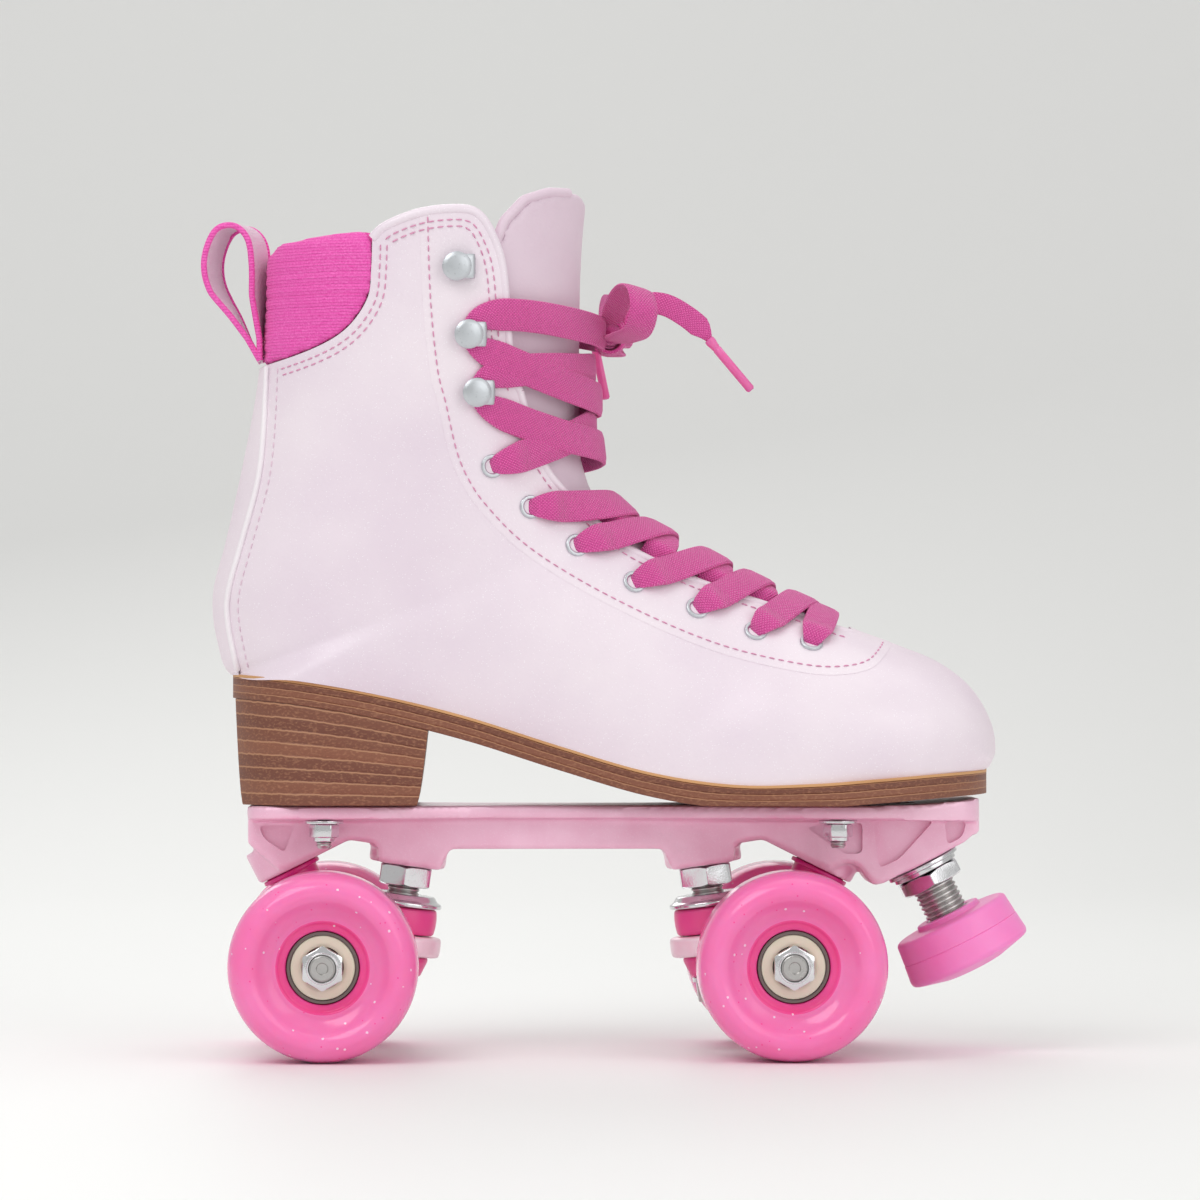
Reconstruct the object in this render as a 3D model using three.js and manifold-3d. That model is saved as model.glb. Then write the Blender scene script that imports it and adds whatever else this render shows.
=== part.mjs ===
// Quad roller skate for a right foot: lace-up boot, cast plate, two steering trucks,
// four wheels on ball bearings, and an adjustable toe stop.
// Millimetres. +X points to the toe, +Y to the inner side of the foot, +Z up.
// The origin is on the floor, under the middle of the skate's box.

import * as THREE from 'three';
import { mergeVertices } from 'three/addons/utils/BufferGeometryUtils.js';
import Module from 'manifold-3d';

const wasm = await Module();
wasm.setup();

// ---------------------------------------------------------------- driving sizes

const GAP = 0.3; // between two pieces that touch
const FIT = 0.2; // radial room of a round piece in its bore
const REACH = 70; // a cutter's, from the middle plane to clear of the skate's sides
const TALL = 300; // a cutter's height, from the floor to clear of the skate's top

// wheels, bearings and axles
const WHEEL_DIAMETER = 58;
const WHEEL_WIDTH = 32;
const WHEEL_CORE_HALF = 10; // half the hub's width, at the bottom of the dish
const TRACK = 78; // between the middles of the two wheels on one axle
const WHEELBASE = 142.8;
const FRONT_AXLE_X = 51.5;
const BEARING_OUTER = 22;
const BEARING_WIDTH = 7;
const BEARING_SPACING = 12; // between the middles of a wheel's two bearings
const AXLE_DIAMETER = 8;
const AXLE_NUT_FLATS = 12;
const AXLE_NUT_HEIGHT = 5.4;

// kingpin stack, measured along the kingpin from the middle of the hanger's ring
const KINGPIN_DIAMETER = 10;
const KINGPIN_LEAN = THREE.MathUtils.degToRad(8);
const KINGPIN_HEAD_FLATS = 15;
const KINGPIN_HEAD_HEIGHT = 6;
const KINGPIN_IN_BOSS = 10;
const KINGPIN_NUT_FLATS = 15.8;
const KINGPIN_NUT_HEIGHT = 6.3;
const NUT_ABOVE_WASHER = 2.4;
const RING_RADIUS = 14;
const RING_BORE_RADIUS = 7.6;
const RING_HEIGHT = 6.3;
const CUP_WASHER_RADIUS = 12.5;
const CUP_WASHER_HEIGHT = 3.6;
const UPPER_CUSHION_RADIUS = 11.5;
const UPPER_CUSHION_HEIGHT = 8.2;
const LOWER_CUSHION_RADIUS = 10.6;
const LOWER_CUSHION_HEIGHT = 6.2;
const LOWER_WASHER_RADIUS = 8.5;
const LOWER_WASHER_HEIGHT = 1.6;

// where the truck meets the plate, from the axle: outboard along X, then up
const RING_CENTRE = [-21.6, 5.1];
const PIVOT_CENTRE = [9.5, 24.5];
const PIVOT_LEAN = THREE.MathUtils.degToRad(26.7); // of the pivot cup, off the vertical
const PIVOT_BALL_RADIUS = 4.4;
const PIVOT_NECK_RADIUS = 3.6;
const CUP_RADIUS = 8;
const CUP_BELOW = 3;
const CUP_ABOVE = 8;
const CUP_FLANGE_RADIUS = 9.4;
const CUP_FLANGE_HEIGHT = 1.2;
const CUP_MOUTH = 4.1; // from the ball's middle to the plate's face round the cup
const CROSSBAR_RADIUS = 7.5;
const SPINDLE_WALL = 1.6; // of the hanger round the axle, inside the wheels
const WEB_HALF = 9; // half the width of the hanger's web, from the crossbar to the ring
const SHOULDER_RADIUS = 6; // where the pivot's neck grows out of the crossbar
const STEER_ROOM = 1.2; // beside the cushions, for the hanger to tilt

// plate
const PLATE_TOP = 48.3; // above the axles
const FLANGE_HEIGHT = 4.2;
const CORE_HALF = 12.5;
const BOSS_RADIUS = 12;

// bolts that hold the boot on the plate, two in front and two behind
const BOLT_RADIUS = 2.4;
const BOLT_HEAD_RADIUS = 5.5;
const BOLT_HEAD_HEIGHT = 2;
const BOLT_SEAT = 1.4; // from the upper's floor up to the head
const BOLT_SPREAD = 21; // from the middle plane
const BOLT_TAIL = 3; // past its nut
const BOLT_FRONT = 15.5; // ahead of the front axle
const BOLT_REAR = 0.3; // behind the rear axle
const MOUNT_NUT_FLATS = 8;
const MOUNT_NUT_HEIGHT = 5.6;

// toe stop, measured along its stem from the plate's boss face
const TOE_LEAN = THREE.MathUtils.degToRad(26.8);
const TOE_BOSS = [43.1, 30]; // middle of the boss face, from the front axle
const TOE_STEM_RADIUS = 6.7;
const TOE_STEM_IN_BOSS = 15;
const TOE_WASHER_RADIUS = 11.7;
const TOE_WASHER_HEIGHT = 2.6;
const TOE_NUT_FLATS = 19.3;
const TOE_NUT_HEIGHT = 4.8;
const TOE_REACH = 19.6; // from the boss face to the top of the rubber
const TOE_PAD_TOP_RADIUS = 18.6;
const TOE_PAD_BOTTOM_RADIUS = 20.1;
const TOE_PAD_SIDE = 14.2;
const TOE_PAD_DOME = 3.5;
const TOE_COLLAR_RADIUS = 10.4;
const TOE_COLLAR_HEIGHT = 2;

// boot
const BOOT_LENGTH = 238.5; // from the back of the heel counter to the toe
const WALL = 2.6; // leather and lining together
const COLLAR_PAD = 7;
const TONGUE_PAD = 4.5;
const FOOTBED_HEIGHT = 4;
const SOLE_HEIGHT = 7;
const TOE_BEND = 5; // how far the toe bends to the inner side
const TAB_WIDTH = 17;
const TAB_HEIGHT = 1.5;

// laces
const LACE_WIDTH = 8.6;
const LOOP_WIDTH = LACE_WIDTH * 0.8; // the bow's loops are pulled narrower
const LACE_HEIGHT = 1.4;
const LACE_LIFT = 0.4;
const AGLET_RADIUS = 1.4;

const AXLE_Z = WHEEL_DIAMETER / 2;
const PLATE_TOP_Z = AXLE_Z + PLATE_TOP;
const FLANGE_Z = PLATE_TOP_Z - FLANGE_HEIGHT;

const FRONT = { name: 'front', x: FRONT_AXLE_X, out: 1 };
const REAR = { name: 'rear', x: FRONT_AXLE_X - WHEELBASE, out: -1 };
const TRUCKS = [FRONT, REAR];
const SIDES = [{ name: 'right', y: -1 }, { name: 'left', y: 1 }];

// ---------------------------------------------------------------- finishes

const FINISH = {
  plate: { color: '#e6afc8', roughness: 0.4, metalness: 0.6 },
  steel: { color: '#c9c9cc', roughness: 0.2, metalness: 1 },
  cushion: { color: '#d2407f', roughness: 0.4, metalness: 0 },
  pivot: { color: '#e53492', roughness: 0.4, metalness: 0 },
  wheel: { color: '#ff86bd', roughness: 0.2, metalness: 0 },
  bearing: { color: '#e8dccb', roughness: 0.4, metalness: 0.2 },
  stopper: { color: '#f06cb8', roughness: 0.5, metalness: 0 },
  leather: { color: '#eee2ea', roughness: 0.5, metalness: 0 },
  lining: { color: '#eb4baf', roughness: 0.8, metalness: 0 },
  sole: { color: '#96603f', roughness: 0.7, metalness: 0 },
  footbed: { color: '#f0d9e4', roughness: 0.8, metalness: 0 },
  lace: { color: '#e04ba3', roughness: 0.8, metalness: 0 },
};

const skate = new THREE.Group();

function addPiece(name, shape, finish) {
  const geometry = shape.isBufferGeometry ? shape : geometryOf(shape);
  const mesh = new THREE.Mesh(geometry, new THREE.MeshStandardMaterial(finish));
  mesh.name = name;
  skate.add(mesh);
}

// ---------------------------------------------------------------- shape tools

function solidOf(geometry) {
  const bare = geometry.clone();
  bare.deleteAttribute('normal');
  bare.deleteAttribute('uv');
  const merged = mergeVertices(bare, 1e-4);
  const index = merged.index.array;
  const triangles = [];
  for (let i = 0; i < index.length; i += 3) {
    const [a, b, c] = [index[i], index[i + 1], index[i + 2]];
    if (a !== b && b !== c && c !== a) triangles.push(a, b, c);
  }
  const mesh = { numProp: 3, vertProperties: new Float32Array(merged.attributes.position.array) };
  if (signedVolume(mesh.vertProperties, triangles) < 0) triangles.reverse();
  mesh.triVerts = new Uint32Array(triangles);
  return new wasm.Manifold(new wasm.Mesh(mesh));
}

function signedVolume(places, triangles) {
  const corner = [new THREE.Vector3(), new THREE.Vector3(), new THREE.Vector3()];
  let volume = 0;
  for (let i = 0; i < triangles.length; i += 3) {
    corner.forEach((point, k) => point.fromArray(places, 3 * triangles[i + k]));
    volume += corner[0].dot(corner[1].cross(corner[2])) / 6;
  }
  return volume;
}

function geometryOf(solid) {
  const mesh = solid.getMesh();
  const geometry = new THREE.BufferGeometry();
  geometry.setAttribute('position', new THREE.BufferAttribute(mesh.vertProperties, 3));
  geometry.setIndex(new THREE.BufferAttribute(mesh.triVerts, 1));
  geometry.computeVertexNormals();
  return geometry;
}

function joined(solids) {
  return solids.reduce((sum, solid) => sum.add(solid));
}

// turns a shape made round the Y axis to stand on `base` along `direction`
function placed(geometry, base, direction) {
  const turn = new THREE.Quaternion();
  turn.setFromUnitVectors(new THREE.Vector3(0, 1, 0), direction);
  const place = new THREE.Matrix4().compose(base, turn, new THREE.Vector3(1, 1, 1));
  return solidOf(geometry.applyMatrix4(place));
}

// a round solid from [radius, height] pairs; a bored one has a profile that closes on itself
function turned(profile, base, direction, sides = 24) {
  const points = profile.map(([radius, height]) => new THREE.Vector2(radius, height));
  return placed(new THREE.LatheGeometry(points, sides), base, direction);
}

function rod(radius, start, end, sides = 16) {
  const direction = end.clone().sub(start);
  const profile = [[0, 0], [radius, 0], [radius, direction.length()], [0, direction.length()]];
  return turned(profile, start, direction.normalize(), sides);
}

function tube(outer, inner, height, base, direction, sides = 20) {
  const profile = [[inner, 0], [outer, 0], [outer, height], [inner, height], [inner, 0]];
  return turned(profile, base, direction, sides);
}

function hexagon(flats, height, base, direction) {
  const radius = flats / Math.sqrt(3);
  return placed(new THREE.CylinderGeometry(radius, radius, height, 6).translate(0, height / 2, 0),
    base, direction);
}

function ball(radius, centre, sides = 12) {
  return solidOf(new THREE.SphereGeometry(radius, sides, sides / 2).translate(...centre));
}

// an outline of [x, z] pairs, as thick as the two y values are apart
function sidePrism(outline, yLow, yHigh) {
  const shape = new THREE.Shape(outline.map(([x, z]) => new THREE.Vector2(x, z)));
  const geometry = new THREE.ExtrudeGeometry(shape, { depth: yHigh - yLow, bevelEnabled: false });
  return solidOf(geometry.rotateX(Math.PI / 2).translate(0, yHigh, 0));
}

// an outline of [x, y] pairs, as tall as the two z values are apart
function planPrism(outline, zLow, zHigh) {
  const shape = new THREE.Shape(outline.map(([x, y]) => new THREE.Vector2(x, y)));
  const geometry = new THREE.ExtrudeGeometry(shape, { depth: zHigh - zLow, bevelEnabled: false });
  return solidOf(geometry.translate(0, 0, zLow));
}

function smooth(points, count) {
  const curve = new THREE.SplineCurve(points.map(([x, z]) => new THREE.Vector2(x, z)));
  return curve.getPoints(count).map((point) => [point.x, point.y]);
}

// the height of a line of [x, z] pairs at x
function heightAt(line, x) {
  const after = line.findIndex(([px]) => px >= x);
  if (after <= 0) return (after === 0 ? line[0] : line[line.length - 1])[1];
  const [[x0, z0], [x1, z1]] = [line[after - 1], line[after]];
  return z0 + (z1 - z0) * (x - x0) / (x1 - x0);
}

// ---------------------------------------------------------------- truck frame

// a point given outboard and up from a truck's axle, at y
function truckPoint(truck, [outboard, up], y = 0) {
  return new THREE.Vector3(truck.x + truck.out * outboard, y, AXLE_Z + up);
}

function kingpinDirection(truck) {
  return new THREE.Vector3(-truck.out * Math.sin(KINGPIN_LEAN), 0, Math.cos(KINGPIN_LEAN));
}

function alongKingpin(truck, distance) {
  return truckPoint(truck, RING_CENTRE).addScaledVector(kingpinDirection(truck), distance);
}

function pivotDirection(truck) {
  return new THREE.Vector3(truck.out * Math.sin(PIVOT_LEAN), 0, Math.cos(PIVOT_LEAN));
}

function alongPivot(truck, distance) {
  return truckPoint(truck, PIVOT_CENTRE).addScaledVector(pivotDirection(truck), distance);
}

// heights along the kingpin, from the middle of the ring
const RING_TOP = RING_HEIGHT / 2;
const UPPER_CUSHION_BASE = RING_TOP + GAP;
const CUP_WASHER_BASE = UPPER_CUSHION_BASE + UPPER_CUSHION_HEIGHT + GAP;
const KINGPIN_NUT_BASE = CUP_WASHER_BASE + CUP_WASHER_HEIGHT + NUT_ABOVE_WASHER;
const BOSS_FACE = KINGPIN_NUT_BASE + KINGPIN_NUT_HEIGHT + GAP;
const LOWER_CUSHION_BASE = -RING_TOP - GAP - LOWER_CUSHION_HEIGHT;
const LOWER_WASHER_BASE = LOWER_CUSHION_BASE - GAP - LOWER_WASHER_HEIGHT;
const KINGPIN_HEAD_BASE = LOWER_WASHER_BASE - GAP - KINGPIN_HEAD_HEIGHT;

// ---------------------------------------------------------------- toe stop frame

const TOE_AXIS = new THREE.Vector3(Math.sin(TOE_LEAN), 0, -Math.cos(TOE_LEAN));

function alongToeStop(distance) {
  return truckPoint(FRONT, TOE_BOSS).addScaledVector(TOE_AXIS, distance);
}

// ---------------------------------------------------------------- plate

// the face that a kingpin's lock nut jams against, at a distance from the kingpin's line
function bossCorner(truck, offset) {
  const face = alongKingpin(truck, BOSS_FACE);
  return [face.x + truck.out * offset * Math.cos(KINGPIN_LEAN), face.z + offset * Math.sin(KINGPIN_LEAN)];
}

function outlineAround(truck, points) {
  return points.map(([outboard, up]) => [truck.x + truck.out * outboard, AXLE_Z + up]);
}

function coreOutline() {
  const underside = PLATE_TOP - FLANGE_HEIGHT / 2;
  const waist = [-38.4, 34.6];
  const arch = [[-15.8, 35.7], [-14.2, 36.4], [-7.2, 37.5], [-0.7, 34.2], [12.7, 27.5]];
  const rear = [[24.1, underside], [24.1, 36.5], [23.3, 35.7], [14.6, 28], ...arch.toReversed()];
  const toe = [[17.9, 29.9], [20.4, 29.9], [22.4, 28.9], [26.1, 24], [27.8, 23.2], [30.6, 24]];
  const toeFront = [[55.9, 36.8], [57.7, 38.6], [60.1, 39.5], [60.1, underside]];
  return [
    ...outlineAround(REAR, rear),
    bossCorner(REAR, 9),
    bossCorner(REAR, -10.5),
    ...outlineAround(REAR, [waist]),
    ...outlineAround(FRONT, [waist]),
    bossCorner(FRONT, -10.5),
    bossCorner(FRONT, 9),
    ...outlineAround(FRONT, [...arch, ...toe, ...toeFront]),
  ];
}

function flangeOutline() {
  const rear = [[24.1, PLATE_TOP], [24.1, PLATE_TOP - FLANGE_HEIGHT]];
  const front = [[60.1, 43], [60.1, 50.9], [52, 49.9], [38, 48.7], [24, PLATE_TOP]];
  return [...outlineAround(REAR, rear), ...outlineAround(FRONT, [[30, 44.1], ...front])];
}

// half the flange's width along the plate
function flangePlan() {
  const rear = [[24.1, 18], [22.5, 23], [17, 26.5], [0, 27.5], [-20, 27], [-45, 17]];
  const front = [[-45, 17], [-20, 24], [0, 28], [25, 28.5], [45, 25], [57, 20], [60.1, 14]];
  const half = [
    ...rear.map(([outboard, y]) => [REAR.x - outboard, y]),
    ...front.map(([outboard, y]) => [FRONT.x + outboard, y]),
  ];
  return [...half.map(([x, y]) => [x, -y]), ...half.toReversed()];
}

function plate() {
  const flange = sidePrism(flangeOutline(), -REACH, REACH)
    .intersect(planPrism(flangePlan(), 0, TALL));
  const core = sidePrism(coreOutline(), -CORE_HALF, CORE_HALF);
  const bosses = TRUCKS.map((truck) => rod(BOSS_RADIUS, alongKingpin(truck, BOSS_FACE),
    alongKingpin(truck, BOSS_FACE + KINGPIN_IN_BOSS)));
  const toeBoss = rod(TOE_WASHER_RADIUS + 1, alongToeStop(0), alongToeStop(-TOE_STEM_IN_BOSS));
  const kingpinBores = TRUCKS.map((truck) => rod(KINGPIN_DIAMETER / 2 + FIT,
    alongKingpin(truck, BOSS_FACE - 1), alongKingpin(truck, BOSS_FACE + KINGPIN_IN_BOSS + GAP)));
  const cupBores = TRUCKS.map((truck) => rod(CUP_RADIUS + FIT,
    alongPivot(truck, CUP_MOUTH - 1), alongPivot(truck, CUP_ABOVE + GAP)));
  const cupFaces = TRUCKS.map((truck) => rod(CUP_FLANGE_RADIUS + 1,
    alongPivot(truck, CUP_MOUTH - 3), alongPivot(truck, CUP_MOUTH)));
  const stemBore = rod(TOE_STEM_RADIUS + FIT, alongToeStop(-40), alongToeStop(5), 24);
  const bolts = boltPlaces().map(({ x, y }) => rod(BOLT_RADIUS + FIT,
    new THREE.Vector3(x, y, 0), new THREE.Vector3(x, y, TALL), 12));
  const solid = joined([flange, core, toeBoss, ...bosses]);
  return solid.subtract(joined([...kingpinBores, ...cupBores, ...cupFaces, stemBore, ...bolts]));
}

// ---------------------------------------------------------------- trucks

function steeringPieces(truck) {
  const up = kingpinDirection(truck);
  const bore = KINGPIN_DIAMETER / 2 + FIT;
  const shank = rod(KINGPIN_DIAMETER / 2, alongKingpin(truck, KINGPIN_HEAD_BASE + 1),
    alongKingpin(truck, BOSS_FACE + KINGPIN_IN_BOSS));
  const head = hexagon(KINGPIN_HEAD_FLATS, KINGPIN_HEAD_HEIGHT,
    alongKingpin(truck, KINGPIN_HEAD_BASE), up);
  const nutBase = alongKingpin(truck, KINGPIN_NUT_BASE);
  const nut = hexagon(KINGPIN_NUT_FLATS, KINGPIN_NUT_HEIGHT, nutBase, up)
    .subtract(rod(bore, alongKingpin(truck, KINGPIN_NUT_BASE - 1), alongKingpin(truck, BOSS_FACE + 1)));
  addPiece(`kingpin_${truck.name}`, head.add(shank), FINISH.steel);
  addPiece(`kingpin_nut_${truck.name}`, nut, FINISH.steel);
  addPiece(`upper_cup_washer_${truck.name}`, tube(CUP_WASHER_RADIUS, bore, CUP_WASHER_HEIGHT,
    alongKingpin(truck, CUP_WASHER_BASE), up), FINISH.steel);
  addPiece(`upper_cushion_${truck.name}`, tube(UPPER_CUSHION_RADIUS, bore, UPPER_CUSHION_HEIGHT,
    alongKingpin(truck, UPPER_CUSHION_BASE), up), FINISH.cushion);
  addPiece(`lower_cushion_${truck.name}`, lowerCushion(truck, bore), FINISH.cushion);
  addPiece(`lower_washer_${truck.name}`, tube(LOWER_WASHER_RADIUS, bore, LOWER_WASHER_HEIGHT,
    alongKingpin(truck, LOWER_WASHER_BASE), up), FINISH.steel);
  addPiece(`pivot_cup_${truck.name}`, pivotCup(truck), FINISH.pivot);
}

function lowerCushion(truck, bore) {
  const waist = LOWER_CUSHION_RADIUS * 0.85;
  const height = LOWER_CUSHION_HEIGHT;
  const profile = [[bore, 0], [waist, 0], [LOWER_CUSHION_RADIUS, height], [bore, height], [bore, 0]];
  return turned(profile, alongKingpin(truck, LOWER_CUSHION_BASE), kingpinDirection(truck));
}

function pivotCup(truck) {
  const body = rod(CUP_RADIUS, alongPivot(truck, -CUP_BELOW), alongPivot(truck, CUP_ABOVE));
  const flangeTop = CUP_MOUTH - GAP;
  const flange = rod(CUP_FLANGE_RADIUS, alongPivot(truck, flangeTop - CUP_FLANGE_HEIGHT),
    alongPivot(truck, flangeTop));
  const socket = ball(PIVOT_BALL_RADIUS + GAP, truckPoint(truck, PIVOT_CENTRE));
  const way = rod(PIVOT_BALL_RADIUS + GAP, alongPivot(truck, -CUP_BELOW - 1), alongPivot(truck, 0));
  return body.add(flange).subtract(socket.add(way));
}

function hanger(truck) {
  const inner = TRACK / 2 - (BEARING_SPACING + BEARING_WIDTH) / 2 - GAP;
  const across = (y) => truckPoint(truck, [0, 0], y);
  const bar = rod(CROSSBAR_RADIUS, across(3 - (TRACK - WHEEL_WIDTH) / 2),
    across((TRACK - WHEEL_WIDTH) / 2 - 3));
  const spindles = rod(AXLE_DIAMETER / 2 + SPINDLE_WALL, across(-inner), across(inner));
  const ring = rod(RING_RADIUS, alongKingpin(truck, -RING_TOP), alongKingpin(truck, RING_TOP), 24);
  const [ringX, ringUp] = RING_CENTRE;
  const web = sidePrism(outlineAround(truck, [
    [ringX + 6, ringUp - RING_TOP + 0.2], [0, -CROSSBAR_RADIUS + 0.5], [4, 3], [2, 7],
    [ringX + 6, ringUp + RING_TOP + 0.4],
  ]), -WEB_HALF, WEB_HALF);
  const neckStart = truckPoint(truck, [2, 3]);
  const neck = rod(PIVOT_NECK_RADIUS, neckStart, truckPoint(truck, PIVOT_CENTRE));
  const tip = ball(PIVOT_BALL_RADIUS, truckPoint(truck, PIVOT_CENTRE));
  const shoulder = rod(SHOULDER_RADIUS, truckPoint(truck, [0, 0]), truckPoint(truck, [4.4, 10.5]));
  const kingpinRoom = rod(RING_BORE_RADIUS, alongKingpin(truck, -20), alongKingpin(truck, 20));
  const lowerRoom = rod(LOWER_CUSHION_RADIUS + STEER_ROOM, alongKingpin(truck, -RING_TOP),
    alongKingpin(truck, -25));
  const upperRoom = rod(CUP_WASHER_RADIUS + STEER_ROOM, alongKingpin(truck, RING_TOP),
    alongKingpin(truck, 25));
  const axleBore = rod(AXLE_DIAMETER / 2 + FIT, across(-TRACK), across(TRACK));
  return joined([bar, spindles, ring, web, shoulder, neck, tip])
    .subtract(joined([kingpinRoom, lowerRoom, upperRoom, axleBore]));
}

function axle(truck) {
  const half = TRACK / 2 + WHEEL_WIDTH / 2 - GAP;
  return rod(AXLE_DIAMETER / 2, truckPoint(truck, [0, 0], -half), truckPoint(truck, [0, 0], half), 16);
}

// ---------------------------------------------------------------- wheels

function wheelProfile() {
  const radius = WHEEL_DIAMETER / 2;
  const half = WHEEL_WIDTH / 2;
  const seat = BEARING_OUTER / 2 + FIT;
  const ridge = BEARING_SPACING / 2 - BEARING_WIDTH / 2 - GAP;
  const side = [
    [seat - 2, ridge], [seat, ridge], [seat, WHEEL_CORE_HALF], [seat + 3, WHEEL_CORE_HALF + 0.6],
    [radius - 9, half - 0.8], [radius - 6, half], [radius - 2, half - 1.6], [radius, half - 6],
  ];
  const far = side.map(([r, y]) => [r, -y]).reverse();
  return [...side, ...far, side[0]];
}

function wheelPieces(truck, side) {
  const name = `${truck.name}_${side.name}`;
  const outward = new THREE.Vector3(0, side.y, 0);
  const centre = truckPoint(truck, [0, 0], side.y * TRACK / 2);
  addPiece(`wheel_${name}`, turned(wheelProfile(), centre, outward, 28), FINISH.wheel);
  for (const [place, sign] of [['inner', -1], ['outer', 1]]) {
    const base = centre.clone().addScaledVector(outward, (sign * BEARING_SPACING - BEARING_WIDTH) / 2);
    addPiece(`bearing_${name}_${place}`, tube(BEARING_OUTER / 2, AXLE_DIAMETER / 2 + FIT,
      BEARING_WIDTH, base, outward, 16), FINISH.bearing);
  }
  const nutBase = centre.clone()
    .addScaledVector(outward, (BEARING_SPACING + BEARING_WIDTH) / 2 + GAP);
  const nutEnd = nutBase.clone().addScaledVector(outward, AXLE_NUT_HEIGHT + 1);
  const nut = hexagon(AXLE_NUT_FLATS, AXLE_NUT_HEIGHT, nutBase, outward)
    .subtract(rod(AXLE_DIAMETER / 2 + FIT, centre, nutEnd, 16));
  addPiece(`axle_nut_${name}`, nut, FINISH.steel);
}

// ---------------------------------------------------------------- toe stop

function toeStopPieces() {
  const washerEnd = GAP + TOE_WASHER_HEIGHT;
  const nutBase = washerEnd + GAP;
  const bore = TOE_STEM_RADIUS + FIT;
  const nut = hexagon(TOE_NUT_FLATS, TOE_NUT_HEIGHT, alongToeStop(nutBase), TOE_AXIS)
    .subtract(rod(bore, alongToeStop(0), alongToeStop(TOE_REACH), 24));
  const padMiddle = TOE_REACH + TOE_PAD_SIDE;
  const stemEnd = padMiddle - 3;
  const pad = turned([
    [0, -TOE_COLLAR_HEIGHT], [TOE_COLLAR_RADIUS, -TOE_COLLAR_HEIGHT], [TOE_COLLAR_RADIUS, 0],
    [TOE_PAD_TOP_RADIUS, 0], [TOE_PAD_BOTTOM_RADIUS, TOE_PAD_SIDE],
    [TOE_PAD_BOTTOM_RADIUS * 0.8, TOE_PAD_SIDE + TOE_PAD_DOME * 0.7], [0, TOE_PAD_SIDE + TOE_PAD_DOME],
  ], alongToeStop(TOE_REACH), TOE_AXIS, 32);
  const stemRoom = rod(bore, alongToeStop(0), alongToeStop(stemEnd + GAP), 24);
  const stem = rod(TOE_STEM_RADIUS, alongToeStop(-TOE_STEM_IN_BOSS), alongToeStop(stemEnd), 24);
  addPiece('toe_stop_washer', tube(TOE_WASHER_RADIUS, bore, TOE_WASHER_HEIGHT, alongToeStop(GAP),
    TOE_AXIS), FINISH.steel);
  addPiece('toe_stop_nut', nut, FINISH.steel);
  addPiece('toe_stop_stem', stem, FINISH.steel);
  addPiece('toe_stop_pad', pad.subtract(stemRoom), FINISH.stopper);
}

// ---------------------------------------------------------------- boot form

const OUTLINE_LENGTH = 238.5; // that the boot's outlines were drawn at
const STRETCH = BOOT_LENGTH / OUTLINE_LENGTH;
const LIFT = PLATE_TOP_Z - 77.3; // the outlines were drawn for a plate top at 77.3

function bootLine(points) {
  return points.map(([x, z]) => [x * STRETCH, z + LIFT]);
}

// straight ribs across the boot's side, from its front line to its back or its sole:
// front x and z, back x and z, half width, and how round the front of the section is
const RIBS = [
  [-6.5, 275, -109.5, 275, 37, 2.3],
  [-8.8, 250, -110, 250, 36.5, 2.3],
  [-9.5, 227, -110.5, 226, 35.5, 2.3],
  [-9.5, 207, -112.6, 206, 34.5, 2.2],
  [-9, 192, -117.5, 180, 34, 2.1],
  [-7.4, 181.5, -122.1, 159.5, 34.5, 2],
  [-4.2, 173.2, -126.2, 142.3, 35, 1.9],
  [0.9, 167.8, -124.8, 128.5, 35, 1.8],
  [5.7, 164.3, -120.4, 117.8, 35, 1.8],
  [12.5, 160.9, -100, 115.8, 34.5, 1.8],
  [20.3, 156.7, -75, 111.5, 34, 1.8],
  [29.7, 151.9, -48, 104.8, 33.5, 1.8],
  [39, 147, -20, 95.9, 34, 1.8],
  [50.8, 141.6, 8, 87.8, 37.5, 1.8],
  [62.5, 136.6, 34, 84, 42.5, 1.9],
  [75.5, 131.2, 58, 84.3, 44.8, 2],
  [88, 126.7, 78, 85.7, 43, 2.1],
  [100.5, 121.4, 91, 86.7, 39.5, 2.2],
  [110.5, 113.5, 99, 87.2, 35, 2.2],
  [116.6, 103, 104, 87.5, 30, 2.2],
  [118, 94.5, 109, 87.7, 23.5, 2.2],
  [116.4, 89.6, 113, 87.9, 14, 2.2],
];
const HEEL_RIB = 8; // the rib that ends at the back corner of the sole
const SHARE_BACK = 2.4; // how round the shaft's back is
const SHARE_SOLE = 5; // how late the foot tucks in to the sole
const WIDEST_BACK = 0.84; // the share of a full section at which the shaft is at its widest
const WIDEST_SOLE = 0.96; // and the foot
const MOST_SEAT = 0.97; // the sole's width, of the foot's, so that the foot always tucks in
const FORM_ROWS = 30;
const FORM_COLUMNS = 8;

const FRONT_CURVE = new THREE.CatmullRomCurve3(
  RIBS.map(([x, z, , , half]) => new THREE.Vector3(x * STRETCH, half, z + LIFT)));
const BACK_CURVE = new THREE.CatmullRomCurve3(
  RIBS.map(([, , x, z, , round]) => new THREE.Vector3(x * STRETCH, round, z + LIFT)));

const SEAT_BACK = -120.5 * STRETCH;
const SEAT_FRONT = 115.3 * STRETCH;
const SEAT_MIDDLE = new THREE.SplineCurve([
  [-89, 31], [-70, 30.3], [-45, 28.7], [-20, 29], [5, 34], [30, 41], [58, 45],
].map(([x, y]) => new THREE.Vector2(x * STRETCH, y))).getPoints(40).map((point) => [point.x, point.y]);

const HEEL_ROUND = 2.2; // 2 makes an ellipse, more is fuller
const TOE_ROUND = 2.6;

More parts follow.
